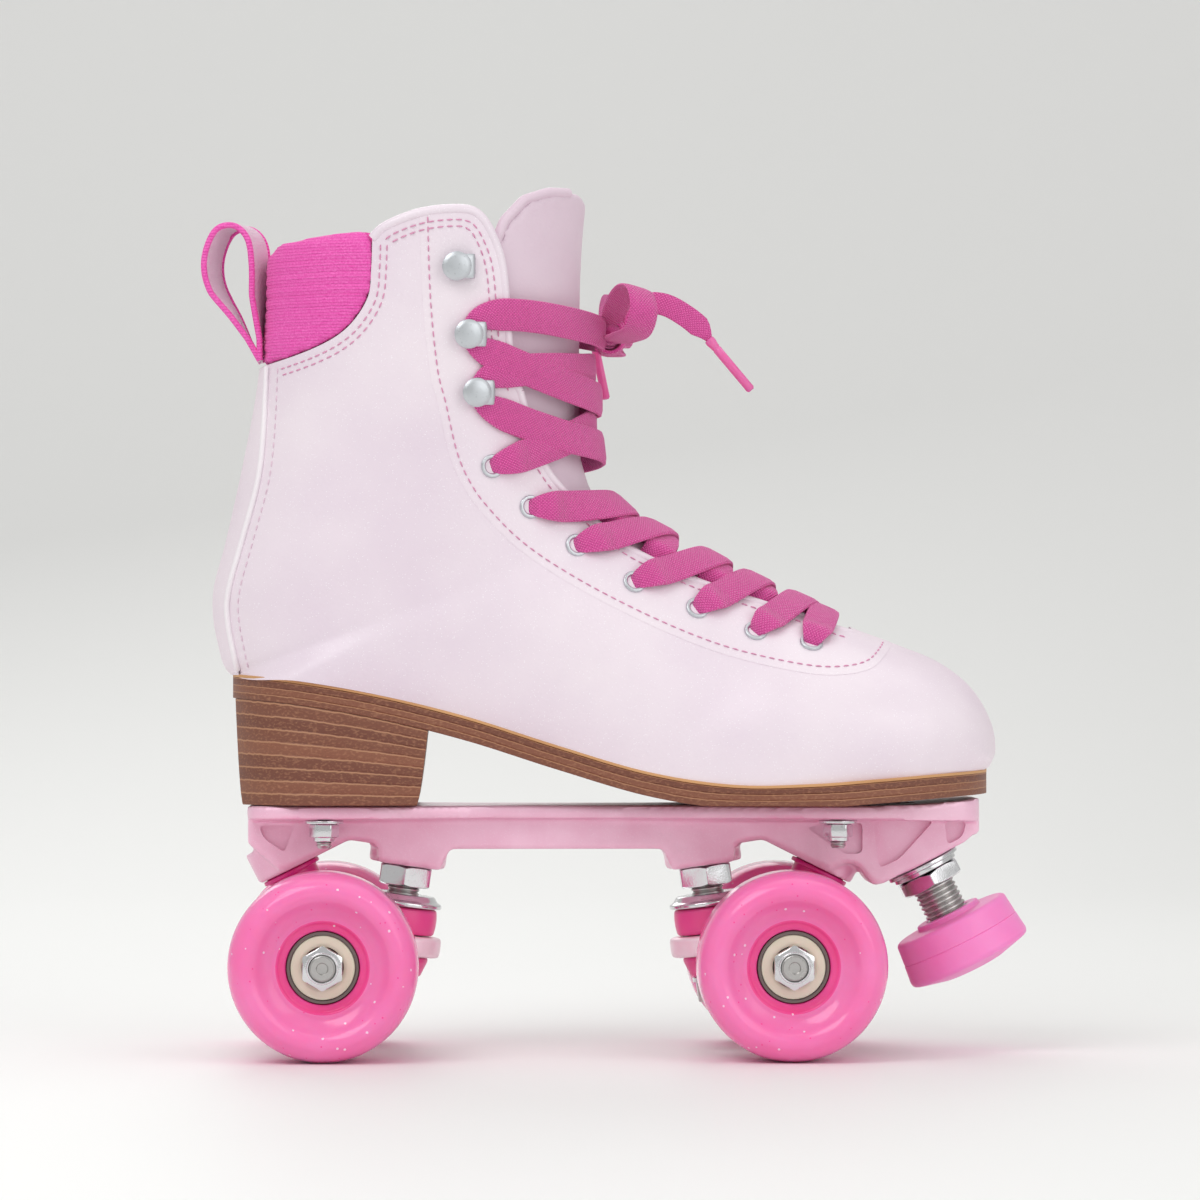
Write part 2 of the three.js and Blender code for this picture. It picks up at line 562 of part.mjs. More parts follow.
// half the sole's width at x: a round heel, a waist and an oval toe
function soleHalf(x) {
  const [[heelX, heelHalf]] = SEAT_MIDDLE;
  const [ballX, ballHalf] = SEAT_MIDDLE[SEAT_MIDDLE.length - 1];
  if (x <= SEAT_BACK || x >= SEAT_FRONT) return 0;
  if (x < heelX) return heelHalf * Math.sqrt(1 - ((heelX - x) / (heelX - SEAT_BACK)) ** HEEL_ROUND);
  if (x > ballX) return ballHalf * Math.sqrt(1 - ((x - ballX) / (SEAT_FRONT - ballX)) ** TOE_ROUND);
  return heightAt(SEAT_MIDDLE, x);
}

// the middle line of the foot, which bends inward towards the toe
function middleY(x) {
  const along = THREE.MathUtils.clamp((x - 10 * STRETCH) / (105 * STRETCH), 0, 1);
  return TOE_BEND * along * along;
}

// a point of the boot's skin, or of a skin `inset` inside it: `u` runs over the ribs from the
// top of the shaft to the toe, and `t` along a rib from the front line to the back or sole
function skinPoint(u, t, side, inset) {
  const front = FRONT_CURVE.getPoint(u);
  const back = BACK_CURVE.getPoint(u);
  const [half, round] = [front.y - inset, back.y];
  const closed = u * (RIBS.length - 1) <= HEEL_RIB;
  const seat = closed ? 0 : Math.max(soleHalf(back.x) - 1 - inset, 0);
  const reach = new THREE.Vector2(back.x - front.x, back.z - front.z);
  const step = reach.clone().normalize().multiplyScalar(inset);
  const tuck = closed ? SHARE_BACK : SHARE_SOLE;
  const open = 1 - Math.min(seat / half, MOST_SEAT) ** 2;
  const share = Math.sqrt(1 - (1 - t) ** round) * Math.sqrt(Math.max(1 - open * t ** tuck, 0));
  const widest = closed ? WIDEST_BACK : WIDEST_SOLE;
  const x = front.x + step.x + t * (reach.x - 2 * step.x);
  const z = front.z + step.y + t * (reach.y - 2 * step.y);
  const y = t === 1 ? seat : Math.min(share / widest, 1) * half;
  return new THREE.Vector3(x, side * y + middleY(x), z);
}

// the boot's form as one closed solid, `inset` inside the skin and ending at rib `last`
function bootForm(inset, last = RIBS.length - 1) {
  const [rows, columns] = [FORM_ROWS, FORM_COLUMNS];
  const places = [];
  for (let i = 0; i <= rows; i += 1) {
    const u = (last / (RIBS.length - 1)) * (i / rows);
    for (const side of [-1, 1]) {
      for (let j = 0; j <= columns; j += 1) {
        const t = (1 - Math.cos(Math.PI * j / columns)) / 2;
        places.push(...skinPoint(u, t, side, inset).toArray());
      }
    }
  }
  const width = 2 * (columns + 1);
  const at = (i, side, j) => i * width + side * (columns + 1) + j;
  const triangles = [];
  const quad = (a, b, c, d) => triangles.push(a, b, c, a, c, d);
  for (let i = 0; i < rows; i += 1) {
    for (let j = 0; j < columns; j += 1) {
      quad(at(i, 0, j), at(i, 0, j + 1), at(i + 1, 0, j + 1), at(i + 1, 0, j));
      quad(at(i + 1, 1, j), at(i + 1, 1, j + 1), at(i, 1, j + 1), at(i, 1, j));
    }
    quad(at(i, 0, columns), at(i, 1, columns), at(i + 1, 1, columns), at(i + 1, 0, columns));
    quad(at(i, 1, 0), at(i, 0, 0), at(i + 1, 0, 0), at(i + 1, 1, 0));
  }
  for (let j = 0; j < columns; j += 1) {
    quad(at(0, 0, j), at(0, 1, j), at(0, 1, j + 1), at(0, 0, j + 1));
    quad(at(rows, 0, j + 1), at(rows, 1, j + 1), at(rows, 1, j), at(rows, 0, j));
  }
  const geometry = new THREE.BufferGeometry();
  geometry.setAttribute('position', new THREE.Float32BufferAttribute(places, 3));
  geometry.setIndex(triangles);
  return solidOf(geometry);
}

// ---------------------------------------------------------------- boot outlines

const COLLAR_LINE = bootLine(smooth([
  [-135, 213.4], [-122, 213.4], [-111, 213.6], [-95.8, 217.8], [-84.9, 223.8], [-78.2, 233],
  [-77, 242], [-76.7, 250],
], 24));
const TOP_LINE = bootLine(smooth([
  [-76.7, 251.4], [-72.5, 255.1], [-61.8, 259.1], [-49.6, 260.3], [-43.5, 258.2], [-38.9, 250.5],
  [-36.4, 241.3], [-35.2, 226], [-33.7, 210.7], [-31.2, 204.9],
], 28));
const THROAT_LINE = bootLine(smooth([
  [-26.5, 187], [-20.3, 177.5], [-12.6, 169.8], [-0.2, 159], [12.1, 152.2], [24.5, 146.7],
  [43, 140.5], [55.3, 136.8], [67.6, 132.4], [72, 131.2],
], 28));
const SOLE_TOP = bootLine(smooth([
  [-121.5, 117.9], [-100, 115.8], [-75, 111.5], [-48, 104.8], [-20, 95.9], [8, 87.8], [34, 84],
  [58, 84.3], [78, 85.7], [99, 87.2], [119, 88.2],
], 44));
const LAST_ROOM_RIB = 18.4; // the hollow ends here, behind the stiff toe puff

function throatCutter(spare) {
  const outside = bootLine([[78, 160], [40, 210], [30, 320], [-135, 320]]);
  const edge = [...COLLAR_LINE, ...TOP_LINE, ...THROAT_LINE];
  return sidePrism([...edge.map(([x, z]) => [x, z - spare]), ...outside], -REACH, REACH);
}

function offsetBand(line, low, high) {
  const under = line.map(([x, z]) => [x, z + low]);
  const over = line.map(([x, z]) => [x, z + high]).reverse();
  return sidePrism([...under, ...over], -REACH, REACH);
}

function boltPlaces() {
  const rows = [['front', FRONT.x + BOLT_FRONT], ['rear', REAR.x - BOLT_REAR]];
  return rows.flatMap(([row, x]) => SIDES.map((side) => (
    { name: `${row}_${side.name}`, x, y: side.y * BOLT_SPREAD })));
}

function boltHoles() {
  return joined(boltPlaces().map(({ x, y }) => rod(BOLT_RADIUS + FIT,
    new THREE.Vector3(x, y, 0), new THREE.Vector3(x, y, TALL), 12)));
}

function upper() {
  return bootForm(0).subtract(bootForm(WALL, LAST_ROOM_RIB)).subtract(throatCutter(0))
    .subtract(boltHoles());
}

function solePlan() {
  const count = 36;
  const half = [];
  for (let i = 0; i <= count; i += 1) {
    const x = SEAT_BACK + (SEAT_FRONT - SEAT_BACK) * (1 - Math.cos(Math.PI * i / count)) / 2;
    half.push([x, soleHalf(x), middleY(x)]);
  }
  const near = half.map(([x, y, middle]) => [x, middle - y]);
  const far = half.slice(1, -1).map(([x, y, middle]) => [x, middle + y]).reverse();
  return planPrism([...near, ...far], 0, TALL);
}

function sole() {
  const bottom = SOLE_TOP.map(([x, z]) => [x, Math.max(z - GAP - SOLE_HEIGHT, PLATE_TOP_Z + GAP)]);
  const top = SOLE_TOP.map(([x, z]) => [x, z - GAP]).reverse();
  return sidePrism([...bottom, ...top], -REACH, REACH).intersect(solePlan())
    .subtract(boltHoles().add(bootForm(-GAP)));
}

function heelBlock() {
  const breast = [[-58.9, 120], [-60.4, 84], [-63, PLATE_TOP_Z + GAP - LIFT]];
  const back = [[-116.8, PLATE_TOP_Z + GAP - LIFT], [-118.5, 104], [-119.6, 120]];
  const block = sidePrism(bootLine([...back, ...breast]), -REACH, REACH);
  const underSole = offsetBand(SOLE_TOP, -90, -2 * GAP - SOLE_HEIGHT);
  return block.intersect(underSole).intersect(solePlan()).subtract(boltHoles());
}

function heelCollar() {
  const topEdge = [[-118, 250], [-106.5, 250.6], [-92, 252.8], [-78, 254]];
  const window = sidePrism(bootLine([
    ...COLLAR_LINE.map(([x, z]) => [x / STRETCH - GAP, z - LIFT + GAP]).filter(([x]) => x > -118),
    ...topEdge.toReversed(),
  ]), -REACH, REACH);
  const inside = sidePrism(bootLine([
    [-118, 196], [-78, 204], [-72, 232], [-73, 253], ...topEdge.toReversed(),
  ]), -REACH, REACH);
  const lining = bootForm(WALL + GAP, LAST_ROOM_RIB).intersect(inside);
  return bootForm(0.8).intersect(window).add(lining)
    .subtract(bootForm(WALL + COLLAR_PAD, LAST_ROOM_RIB));
}

function tongue() {
  const frontEdge = [[-12.4, 205], [-12.6, 185], [-10, 176], [0, 161.5], [24, 150.5], [66, 132.6]];
  const backEdge = [[60, 128], [20, 138], [-8, 151], [-28, 168], [-46, 200], [-46, 236], [-38, 250]];
  const head = [[-34.5, 258], [-28, 264.6], [-20, 267.2], [-13, 267.4], [-11.3, 258]];
  const band = sidePrism(bootLine([...frontEdge, ...backEdge, ...head]), -REACH, REACH);
  const inset = WALL + GAP;
  return bootForm(inset, LAST_ROOM_RIB).subtract(bootForm(inset + TONGUE_PAD, LAST_ROOM_RIB))
    .intersect(band);
}

function footbed() {
  const band = offsetBand(SOLE_TOP, WALL + GAP, WALL + GAP + FOOTBED_HEIGHT);
  const heads = joined(boltPlaces().map(({ x, y }) => {
    const base = heightAt(SOLE_TOP, x) + WALL;
    return rod(BOLT_HEAD_RADIUS + GAP, new THREE.Vector3(x, y, base - 5),
      new THREE.Vector3(x, y, base + BOLT_SEAT + BOLT_HEAD_HEIGHT + GAP), 16);
  }));
  return bootForm(WALL + GAP, LAST_ROOM_RIB).intersect(band).subtract(heads);
}

function mountPieces() {
  for (const { name, x, y } of boltPlaces()) {
    const at = (z) => new THREE.Vector3(x, y, z);
    const up = new THREE.Vector3(0, 0, 1);
    const seat = heightAt(SOLE_TOP, x) + WALL + BOLT_SEAT;
    const nutBase = FLANGE_Z - GAP - MOUNT_NUT_HEIGHT;
    const shank = rod(BOLT_RADIUS, at(nutBase - BOLT_TAIL), at(seat + 0.5), 12);
    const head = rod(BOLT_HEAD_RADIUS, at(seat), at(seat + BOLT_HEAD_HEIGHT), 16);
    const nut = hexagon(MOUNT_NUT_FLATS, MOUNT_NUT_HEIGHT, at(nutBase), up)
      .subtract(rod(BOLT_RADIUS + FIT, at(nutBase - 1), at(FLANGE_Z), 12));
    addPiece(`mount_bolt_${name}`, shank.add(head), FINISH.steel);
    addPiece(`mount_nut_${name}`, nut, FINISH.steel);
  }
}

// ---------------------------------------------------------------- pull tab

// the webbing loop stands behind the heel collar, sewn in at its foot
function pullTab() {
  const loop = new THREE.SplineCurve([
    [-112, 215.4], [-119.4, 228.3], [-125.6, 238], [-126.9, 247], [-123.6, 255.6], [-118, 257.3],
    [-113.6, 253.4], [-112.2, 245], [-112.2, 232], [-112, 215.4],
  ].map(([x, z]) => new THREE.Vector2(x * STRETCH, z + LIFT))).getPoints(36).slice(0, -1);
  const middle = new THREE.Vector2(-117 * STRETCH, 244 + LIFT);
  const grown = (distance) => loop.map((point, i) => {
    const before = loop[(i + loop.length - 1) % loop.length];
    const after = loop[(i + 1) % loop.length];
    const along = after.clone().sub(before).normalize();
    const out = new THREE.Vector2(along.y, -along.x);
    if (out.dot(point.clone().sub(middle)) < 0) out.negate();
    return point.clone().addScaledVector(out, distance);
  });
  const pairs = (points) => points.map((point) => [point.x, point.y]);
  const outside = sidePrism(pairs(grown(TAB_HEIGHT / 2)), -TAB_WIDTH / 2, TAB_WIDTH / 2);
  const inside = pairs(grown(-TAB_HEIGHT / 2)).filter(([, z]) => z > 224 + LIFT);
  return outside.subtract(sidePrism(inside, -TAB_WIDTH, TAB_WIDTH));
}

// ---------------------------------------------------------------- laces

// a flat band along `points`, its faces square to `normals`
function loopBand(points, normals) {
  const places = [];
  points.forEach((point, i) => {
    const before = points[Math.max(i - 1, 0)];
    const after = points[Math.min(i + 1, points.length - 1)];
    const along = after.clone().sub(before).normalize();
    const across = normals[i].clone().cross(along).normalize();
    const over = along.clone().cross(across).normalize();
    for (const [side, level] of [[-1, -1], [1, -1], [1, 1], [-1, 1]]) {
      places.push(...point.clone().addScaledVector(across, side * LOOP_WIDTH / 2)
        .addScaledVector(over, level * LACE_HEIGHT / 2).toArray());
    }
  });
  const triangles = [0, 2, 1, 0, 3, 2];
  for (let i = 0; i < points.length - 1; i += 1) {
    for (let k = 0; k < 4; k += 1) {
      const [a, b] = [4 * i + k, 4 * i + (k + 1) % 4];
      triangles.push(a, b, b + 4, a, b + 4, a + 4);
    }
  }
  const end = 4 * (points.length - 1);
  triangles.push(end, end + 1, end + 2, end, end + 2, end + 3);
  const geometry = new THREE.BufferGeometry();
  geometry.setAttribute('position', new THREE.Float32BufferAttribute(places, 3));
  geometry.setIndex(triangles);
  return solidOf(geometry);
}

// lace holes and hooks down the right side, toe last; the left side mirrors them
const LACE_HOLES = bootLine([
  [-47.6, 222.2], [-45.2, 204.4], [-39.9, 181.8], [-28.1, 169.4], [-13.8, 157.6], [4.1, 146.3],
  [23.5, 138.2], [41.5, 131.1], [58.6, 127.5],
]);
// the free lace: the knot, one loop's turn to its side, and the two ends
const KNOT_CENTRE = [-3, -0.5, 224];
const LOOP_POINTS = [
  [-3.2, 2, 226.4], [-2.4, 11, 231.4], [-1.4, 21, 235], [-0.6, 29.5, 234], [-0.4, 32.5, 229],
  [-0.8, 29, 224], [-1.8, 18, 222.4], [-3, 3, 222.4],
];
const LONG_TAIL = [
  [4.2, -0.8, 224.3], [6.1, -1.2, 230], [9.2, -2.4, 233.4], [14, -3.8, 233.2], [20.3, -5, 229.8],
  [25.6, -5.6, 225.4], [28.6, -6, 221.2],
];
const LONG_TIP = [41, -7, 206.3];
const SHORT_TAIL = [
  [-3, 3.4, 218.8], [-2, 12, 218.6], [-0.8, 21, 218.9], [-0.8, 29, 219.6], [-1.6, 38, 222],
  [-3.4, 43.5, 226.6], [-5.2, 47.6, 229], [-6.5, 50.2, 227.6], [-6.6, 50.6, 225],
];
const SHORT_TIP = [-2.8, 48.5, 206.2];
const KNOT_BACK = bootLine([[-9, 224.5]])[0];
const TOE_CROSSING = bootLine([[64, 138.4]])[0];

// where the laces cross, clear in front of the tongue
const LACE_CROSSINGS = bootLine([
  [-9.5, 217], [-9.5, 198], [-7.5, 180], [-3, 169.3], [9, 161.4], [27, 153.2], [46, 144.8],
  [62, 139.4],
]);

// a straight stretch of lace between two places of the side view, through both sides
function lacePrism([x0, z0], [x1, z1]) {
  const start = new THREE.Vector2(x0, z0);
  const end = new THREE.Vector2(x1, z1);
  const along = end.clone().sub(start).normalize();
  const half = new THREE.Vector2(-along.y, along.x).multiplyScalar(LACE_WIDTH / 2);
  start.addScaledVector(along, -LACE_WIDTH * 0.3);
  end.addScaledVector(along, LACE_WIDTH * 0.3);
  const corners = [start.clone().add(half), end.clone().add(half), end.sub(half), start.sub(half)];
  return sidePrism(corners.map((corner) => [corner.x, corner.y]), -REACH, REACH);
}

// the laced part of the lace, wound tight over the skin from hole to hole
function laceRun() {
  const last = LACE_HOLES.length - 1;
  const stretches = [
    lacePrism(LACE_HOLES[0], KNOT_BACK),
    lacePrism(LACE_HOLES[last], TOE_CROSSING),
    ...LACE_CROSSINGS.flatMap((crossing, i) => [
      lacePrism(LACE_HOLES[i], crossing), lacePrism(crossing, LACE_HOLES[i + 1]),
    ]),
  ];
  return bootForm(-LACE_LIFT - LACE_HEIGHT).subtract(bootForm(-LACE_LIFT))
    .intersect(joined(stretches));
}

// the bow: a knot in front of the tongue, with a loop to each side
function laceBow() {
  const knot = solidOf(new THREE.SphereGeometry(1, 12, 8).scale(4, 5.2, 5.4)
    .translate(...KNOT_CENTRE));
  const loops = SIDES.map((side) => {
    const points = LOOP_POINTS.map(([x, y, z]) => new THREE.Vector3(x, side.y * y, z));
    const curve = new THREE.CatmullRomCurve3(points);
    const path = curve.getPoints(14);
    return loopBand(path, path.map((point, i) => loopNormal(path, i)));
  });
  return joined([knot, ...loops]);
}

// the loop's faces stand square to its own bend, with its width along X
function loopNormal(path, i) {
  const before = path[Math.max(i - 1, 0)];
  const after = path[Math.min(i + 1, path.length - 1)];
  return after.clone().sub(before).cross(new THREE.Vector3(1, 0, 0)).normalize();
}

// a free end: a flat cord through `points`, then its stiff tip
function laceTail(name, points, tipEnd) {
  const path = new THREE.CatmullRomCurve3(points.map((point) => new THREE.Vector3(...point)));
  const section = new THREE.Shape();
  section.absellipse(0, 0, LACE_HEIGHT / 2 + 0.2, LACE_WIDTH / 2 - 0.6, 0, Math.PI * 2);
  const tail = new THREE.ExtrudeGeometry(section, {
    curveSegments: 4, steps: 10, bevelEnabled: false, extrudePath: path,
  });
  const last = path.getPoint(1);
  const tip = new THREE.Vector3(...tipEnd);
  const tipStart = last.clone().addScaledVector(tip.clone().sub(last).normalize(), GAP);
  addPiece(`lace_tail_${name}`, solidOf(tail), FINISH.lace);
  addPiece(`aglet_${name}`, rod(AGLET_RADIUS, tipStart, tip, 10), FINISH.lace);
}

addPiece('plate', plate(), FINISH.plate);
mountPieces();
for (const truck of TRUCKS) {
  steeringPieces(truck);
  addPiece(`hanger_${truck.name}`, hanger(truck), FINISH.plate);
  addPiece(`axle_${truck.name}`, axle(truck), FINISH.steel);
  for (const side of SIDES) wheelPieces(truck, side);
}
toeStopPieces();
addPiece('sole', sole(), FINISH.sole);
addPiece('heel_block', heelBlock(), FINISH.sole);
addPiece('upper', upper(), FINISH.leather);
addPiece('heel_collar', heelCollar(), FINISH.lining);
addPiece('tongue', tongue(), FINISH.leather);
addPiece('footbed', footbed(), FINISH.footbed);
addPiece('pull_tab', pullTab(), FINISH.leather);
addPiece('lace_run', laceRun(), FINISH.lace);
addPiece('lace_bow', laceBow(), FINISH.lace);
laceTail('long', LONG_TAIL, LONG_TIP);
laceTail('short', SHORT_TAIL, SHORT_TIP);

export default skate;
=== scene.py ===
"""The looks of a quad roller skate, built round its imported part."""

import logging
import math
from dataclasses import dataclass
from enum import Enum

import bpy
import numpy as np
from mathutils import Matrix, Vector


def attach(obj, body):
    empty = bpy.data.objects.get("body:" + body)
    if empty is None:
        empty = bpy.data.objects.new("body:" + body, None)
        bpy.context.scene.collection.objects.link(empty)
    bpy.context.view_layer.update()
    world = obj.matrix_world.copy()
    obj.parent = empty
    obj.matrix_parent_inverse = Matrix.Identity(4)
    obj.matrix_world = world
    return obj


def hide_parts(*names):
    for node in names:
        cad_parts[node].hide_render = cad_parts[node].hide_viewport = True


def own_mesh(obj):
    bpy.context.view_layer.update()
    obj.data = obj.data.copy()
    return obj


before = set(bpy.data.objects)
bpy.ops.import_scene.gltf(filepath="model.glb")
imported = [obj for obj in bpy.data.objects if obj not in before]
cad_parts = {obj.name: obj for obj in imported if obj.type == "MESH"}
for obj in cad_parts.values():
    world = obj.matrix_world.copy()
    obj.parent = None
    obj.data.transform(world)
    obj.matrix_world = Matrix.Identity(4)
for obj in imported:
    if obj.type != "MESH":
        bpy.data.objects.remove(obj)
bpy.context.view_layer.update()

MM = 0.001
LOG = logging.getLogger("skate")
Pair = tuple[float, float]
Triple = tuple[float, float, float]
SIDE_REACH = 80.0  # half the width of a cutter that goes right through the boot
LACE_STEP = 1.6  # between the points of a free stretch of lace
STRIP_STEP = 0.7  # between the points of a laced strip
ROW_STEP = 1.5  # between the points of a piping or rolled edge


class End(Enum):
    """The two trucks: their name, and which way is outboard along X."""

    FRONT = ("front", 1)
    REAR = ("rear", -1)


class Side(Enum):
    """The skate's two sides, and their sign along Y."""

    RIGHT = ("right", -1)
    LEFT = ("left", 1)


class Hold(Enum):
    """What holds an end of a strip of lace."""

    EYELET = "eyelet"
    HOOK = "hook"
    FACING = "facing"
    NONE = "none"


class Cut(Enum):
    """The boolean operations, as the modifier names them."""

    LESS = "DIFFERENCE"
    INSIDE = "INTERSECT"


# ---------------------------------------------------------------- mesh tools


def only(piece: bpy.types.Object) -> None:
    """Makes piece the one selected and active object."""
    bpy.ops.object.select_all(action="DESELECT")
    piece.select_set(True)
    bpy.context.view_layer.objects.active = piece


def mesh_piece(name: str, points: list, faces: list, edges: list = ()) -> bpy.types.Object:
    """Makes an object at the origin from points in millimetres.

    Args:
        name: the object's name.
        points: its corners, in millimetres.
        faces: tuples of corner numbers.
        edges: pairs of corner numbers, where there are no faces.

    Returns:
        The new object.
    """
    mesh = bpy.data.meshes.new(name)
    mesh.from_pydata([tuple(float(v) * MM for v in point) for point in points], list(edges), list(faces))
    mesh.validate()
    piece = bpy.data.objects.new(name, mesh)
    bpy.context.scene.collection.objects.link(piece)
    return piece


def modify(piece: bpy.types.Object, kind: str, **settings: object) -> None:
    """Adds a modifier to piece with the given settings and applies it."""
    only(piece)
    modifier = piece.modifiers.new(kind.lower(), kind)
    for key, value in settings.items():
        setattr(modifier, key, value)
    bpy.ops.object.modifier_apply(modifier=modifier.name)


def cut(piece: bpy.types.Object, tool: bpy.types.Object, how: Cut) -> None:
    """Cuts piece with a closed tool mesh, which is used up.

    Args:
        piece: the object to change.
        tool: the closed mesh that cuts it.
        how: which boolean operation.
    """
    before = len(piece.data.polygons)
    modify(piece, "BOOLEAN", operation=how.value, object=tool, solver="MANIFOLD")
    LOG.info("cut %s: %d to %d faces", piece.name, before, len(piece.data.polygons))
    bpy.data.objects.remove(tool, do_unlink=True)


def merged(name: str, pieces: list) -> bpy.types.Object:
    """Joins several objects into the first one, named name."""
    bpy.ops.object.select_all(action="DESELECT")
    for piece in pieces:
        piece.select_set(True)
    bpy.context.view_layer.objects.active = pieces[0]
    if len(pieces) > 1:
        bpy.ops.object.join()
    pieces[0].name = name
    pieces[0].data.name = name
    return pieces[0]


def smooth(piece: bpy.types.Object, degrees: float = 35.0) -> bpy.types.Object:
    """Shades piece smooth, but for edges sharper than degrees."""
    only(piece)
    bpy.ops.object.shade_smooth_by_angle(angle=math.radians(degrees))
    return piece


def outward(piece: bpy.types.Object, threshold: float = 0.002) -> None:
    """Merges the doubles of piece within threshold millimetres and turns its faces outward."""
    only(piece)
    bpy.ops.object.mode_set(mode="EDIT")
    bpy.ops.mesh.select_all(action="SELECT")
    bpy.ops.mesh.remove_doubles(threshold=threshold * MM)
    bpy.ops.mesh.normals_make_consistent(inside=False)
    bpy.ops.object.mode_set(mode="OBJECT")


def quads(rows: int, around: int, base: int = 0) -> list:
    """The faces between rows of corners that each close on themselves.

    Args:
        rows: how many stretches there are from row to row.
        around: how many corners a row has.
        base: the number of the first corner.

    Returns:
        One tuple of four corner numbers for each face.
    """
    faces = []
    for row in range(base, base + rows * around, around):
        for k in range(around):
            n = (k + 1) % around
            faces.append((row + k, row + n, row + around + n, row + around + k))
    return faces


def caps(rows: int, around: int, base: int = 0) -> list:
    """The two flat faces that close a tube made by quads."""
    end = base + rows * around
    return [tuple(reversed(range(base, base + around))), tuple(range(end, end + around))]


def lids(rows: int, around: int) -> list:
    """The faces that close a long tube made by quads, in strips from its right to its left half."""
    faces = []
    for row in (0, rows * around):
        for k in range(around // 2 - 1):
            faces.append((row + k, row + k + 1, row + around - 2 - k, row + around - 1 - k))
    return faces


def fillet(outline: list, radius: float, closed: bool = True, steps: int = 4) -> list:
    """Rounds the corners of an outline.

    Args:
        outline: points of two numbers.
        radius: how far from a corner the round starts, at most.
        closed: whether the last point joins the first.
        steps: stretches in each round.

    Returns:
        The rounded outline.
    """
    points = [np.array(point, float) for point in outline]
    count = len(points)
    result = []
    for i, point in enumerate(points):
        if not closed and i in (0, count - 1):
            result.append(tuple(point))
            continue
        before, after = points[i - 1], points[(i + 1) % count]
        room = min(radius, 0.45 * np.linalg.norm(before - point), 0.45 * np.linalg.norm(after - point))
        start = point + (before - point) / np.linalg.norm(before - point) * room
        end = point + (after - point) / np.linalg.norm(after - point) * room
        for step in range(steps + 1):
            share = step / steps
            result.append(tuple((1 - share) ** 2 * start + 2 * share * (1 - share) * point + share ** 2 * end))
    return result


def stand(direction: Triple) -> Matrix:
    """The turn that takes +Z to direction."""
    return Vector((0, 0, 1)).rotation_difference(Vector(direction)).to_matrix().to_4x4()


def place(piece: bpy.types.Object, base: Triple, direction: Triple) -> bpy.types.Object:
    """Turns a piece made round +Z to stand on base along direction, in its own mesh."""
    move = Matrix.Translation(Vector(base) * MM) @ stand(direction)
    piece.data.transform(move)
    return piece


def lathe(name: str, profile: list, base: Triple, direction: Triple, steps: int = 64) -> bpy.types.Object:
    """Spins a profile into a round piece.

    Args:
        name: the piece's name.
        profile: (radius, height) pairs, in millimetres, from axis to axis or closed on itself.
        base: where height 0 is.
        direction: which way height goes.
        steps: how many stretches go round.

    Returns:
        The piece, with its faces outward.
    """
    on_axis = profile[0][0] < 0.001 and profile[-1][0] < 0.001
    points = [(radius, 0, height) for radius, height in profile]
    edges = [(i, i + 1) for i in range(len(points) - 1)]
    if not on_axis:
        edges.append((len(points) - 1, 0))
    piece = mesh_piece(name, points, [], edges)
    only(piece)
    bpy.ops.object.mode_set(mode="EDIT")
    bpy.ops.mesh.select_all(action="SELECT")
    bpy.ops.mesh.spin(steps=steps, angle=math.tau, center=(0, 0, 0), axis=(0, 0, 1))
    bpy.ops.object.mode_set(mode="OBJECT")
    outward(piece)
    place(piece, base, direction)
    return smooth(piece)


def rod(name: str, radius: float, start: Vector, end: Vector, bevel: float = 0.5) -> bpy.types.Object:
    """A round bar between two places, with rounded ends."""
    length = (end - start).length
    profile = fillet([(0, 0), (radius, 0), (radius, length), (0, length)], bevel, closed=False)
    return lathe(name, profile, start, (end - start).normalized())


def prism(name: str, outline: list, low: float, high: float, plan: bool = False) -> bpy.types.Object:
    """A straight-sided solid from an outline.

    Args:
        name: the piece's name.
        outline: (x, z) pairs, or (x, y) pairs for a plan.
        low: its lower y, or its lower z for a plan.
        high: its higher y, or its higher z for a plan.
        plan: whether it stands up along Z, not across along Y.

    Returns:
        The closed solid.
    """
    count = len(outline)
    corner = (lambda p, level: (p[0], p[1], level)) if plan else (lambda p, level: (p[0], level, p[1]))
    points = [corner(point, level) for level in (low, high) for point in outline]
    faces = [tuple(range(count)), tuple(reversed(range(count, 2 * count)))]
    faces += [(i, i + count, (i + 1) % count + count, (i + 1) % count) for i in range(count)]
    piece = mesh_piece(name, points, faces)
    outward(piece)
    return piece


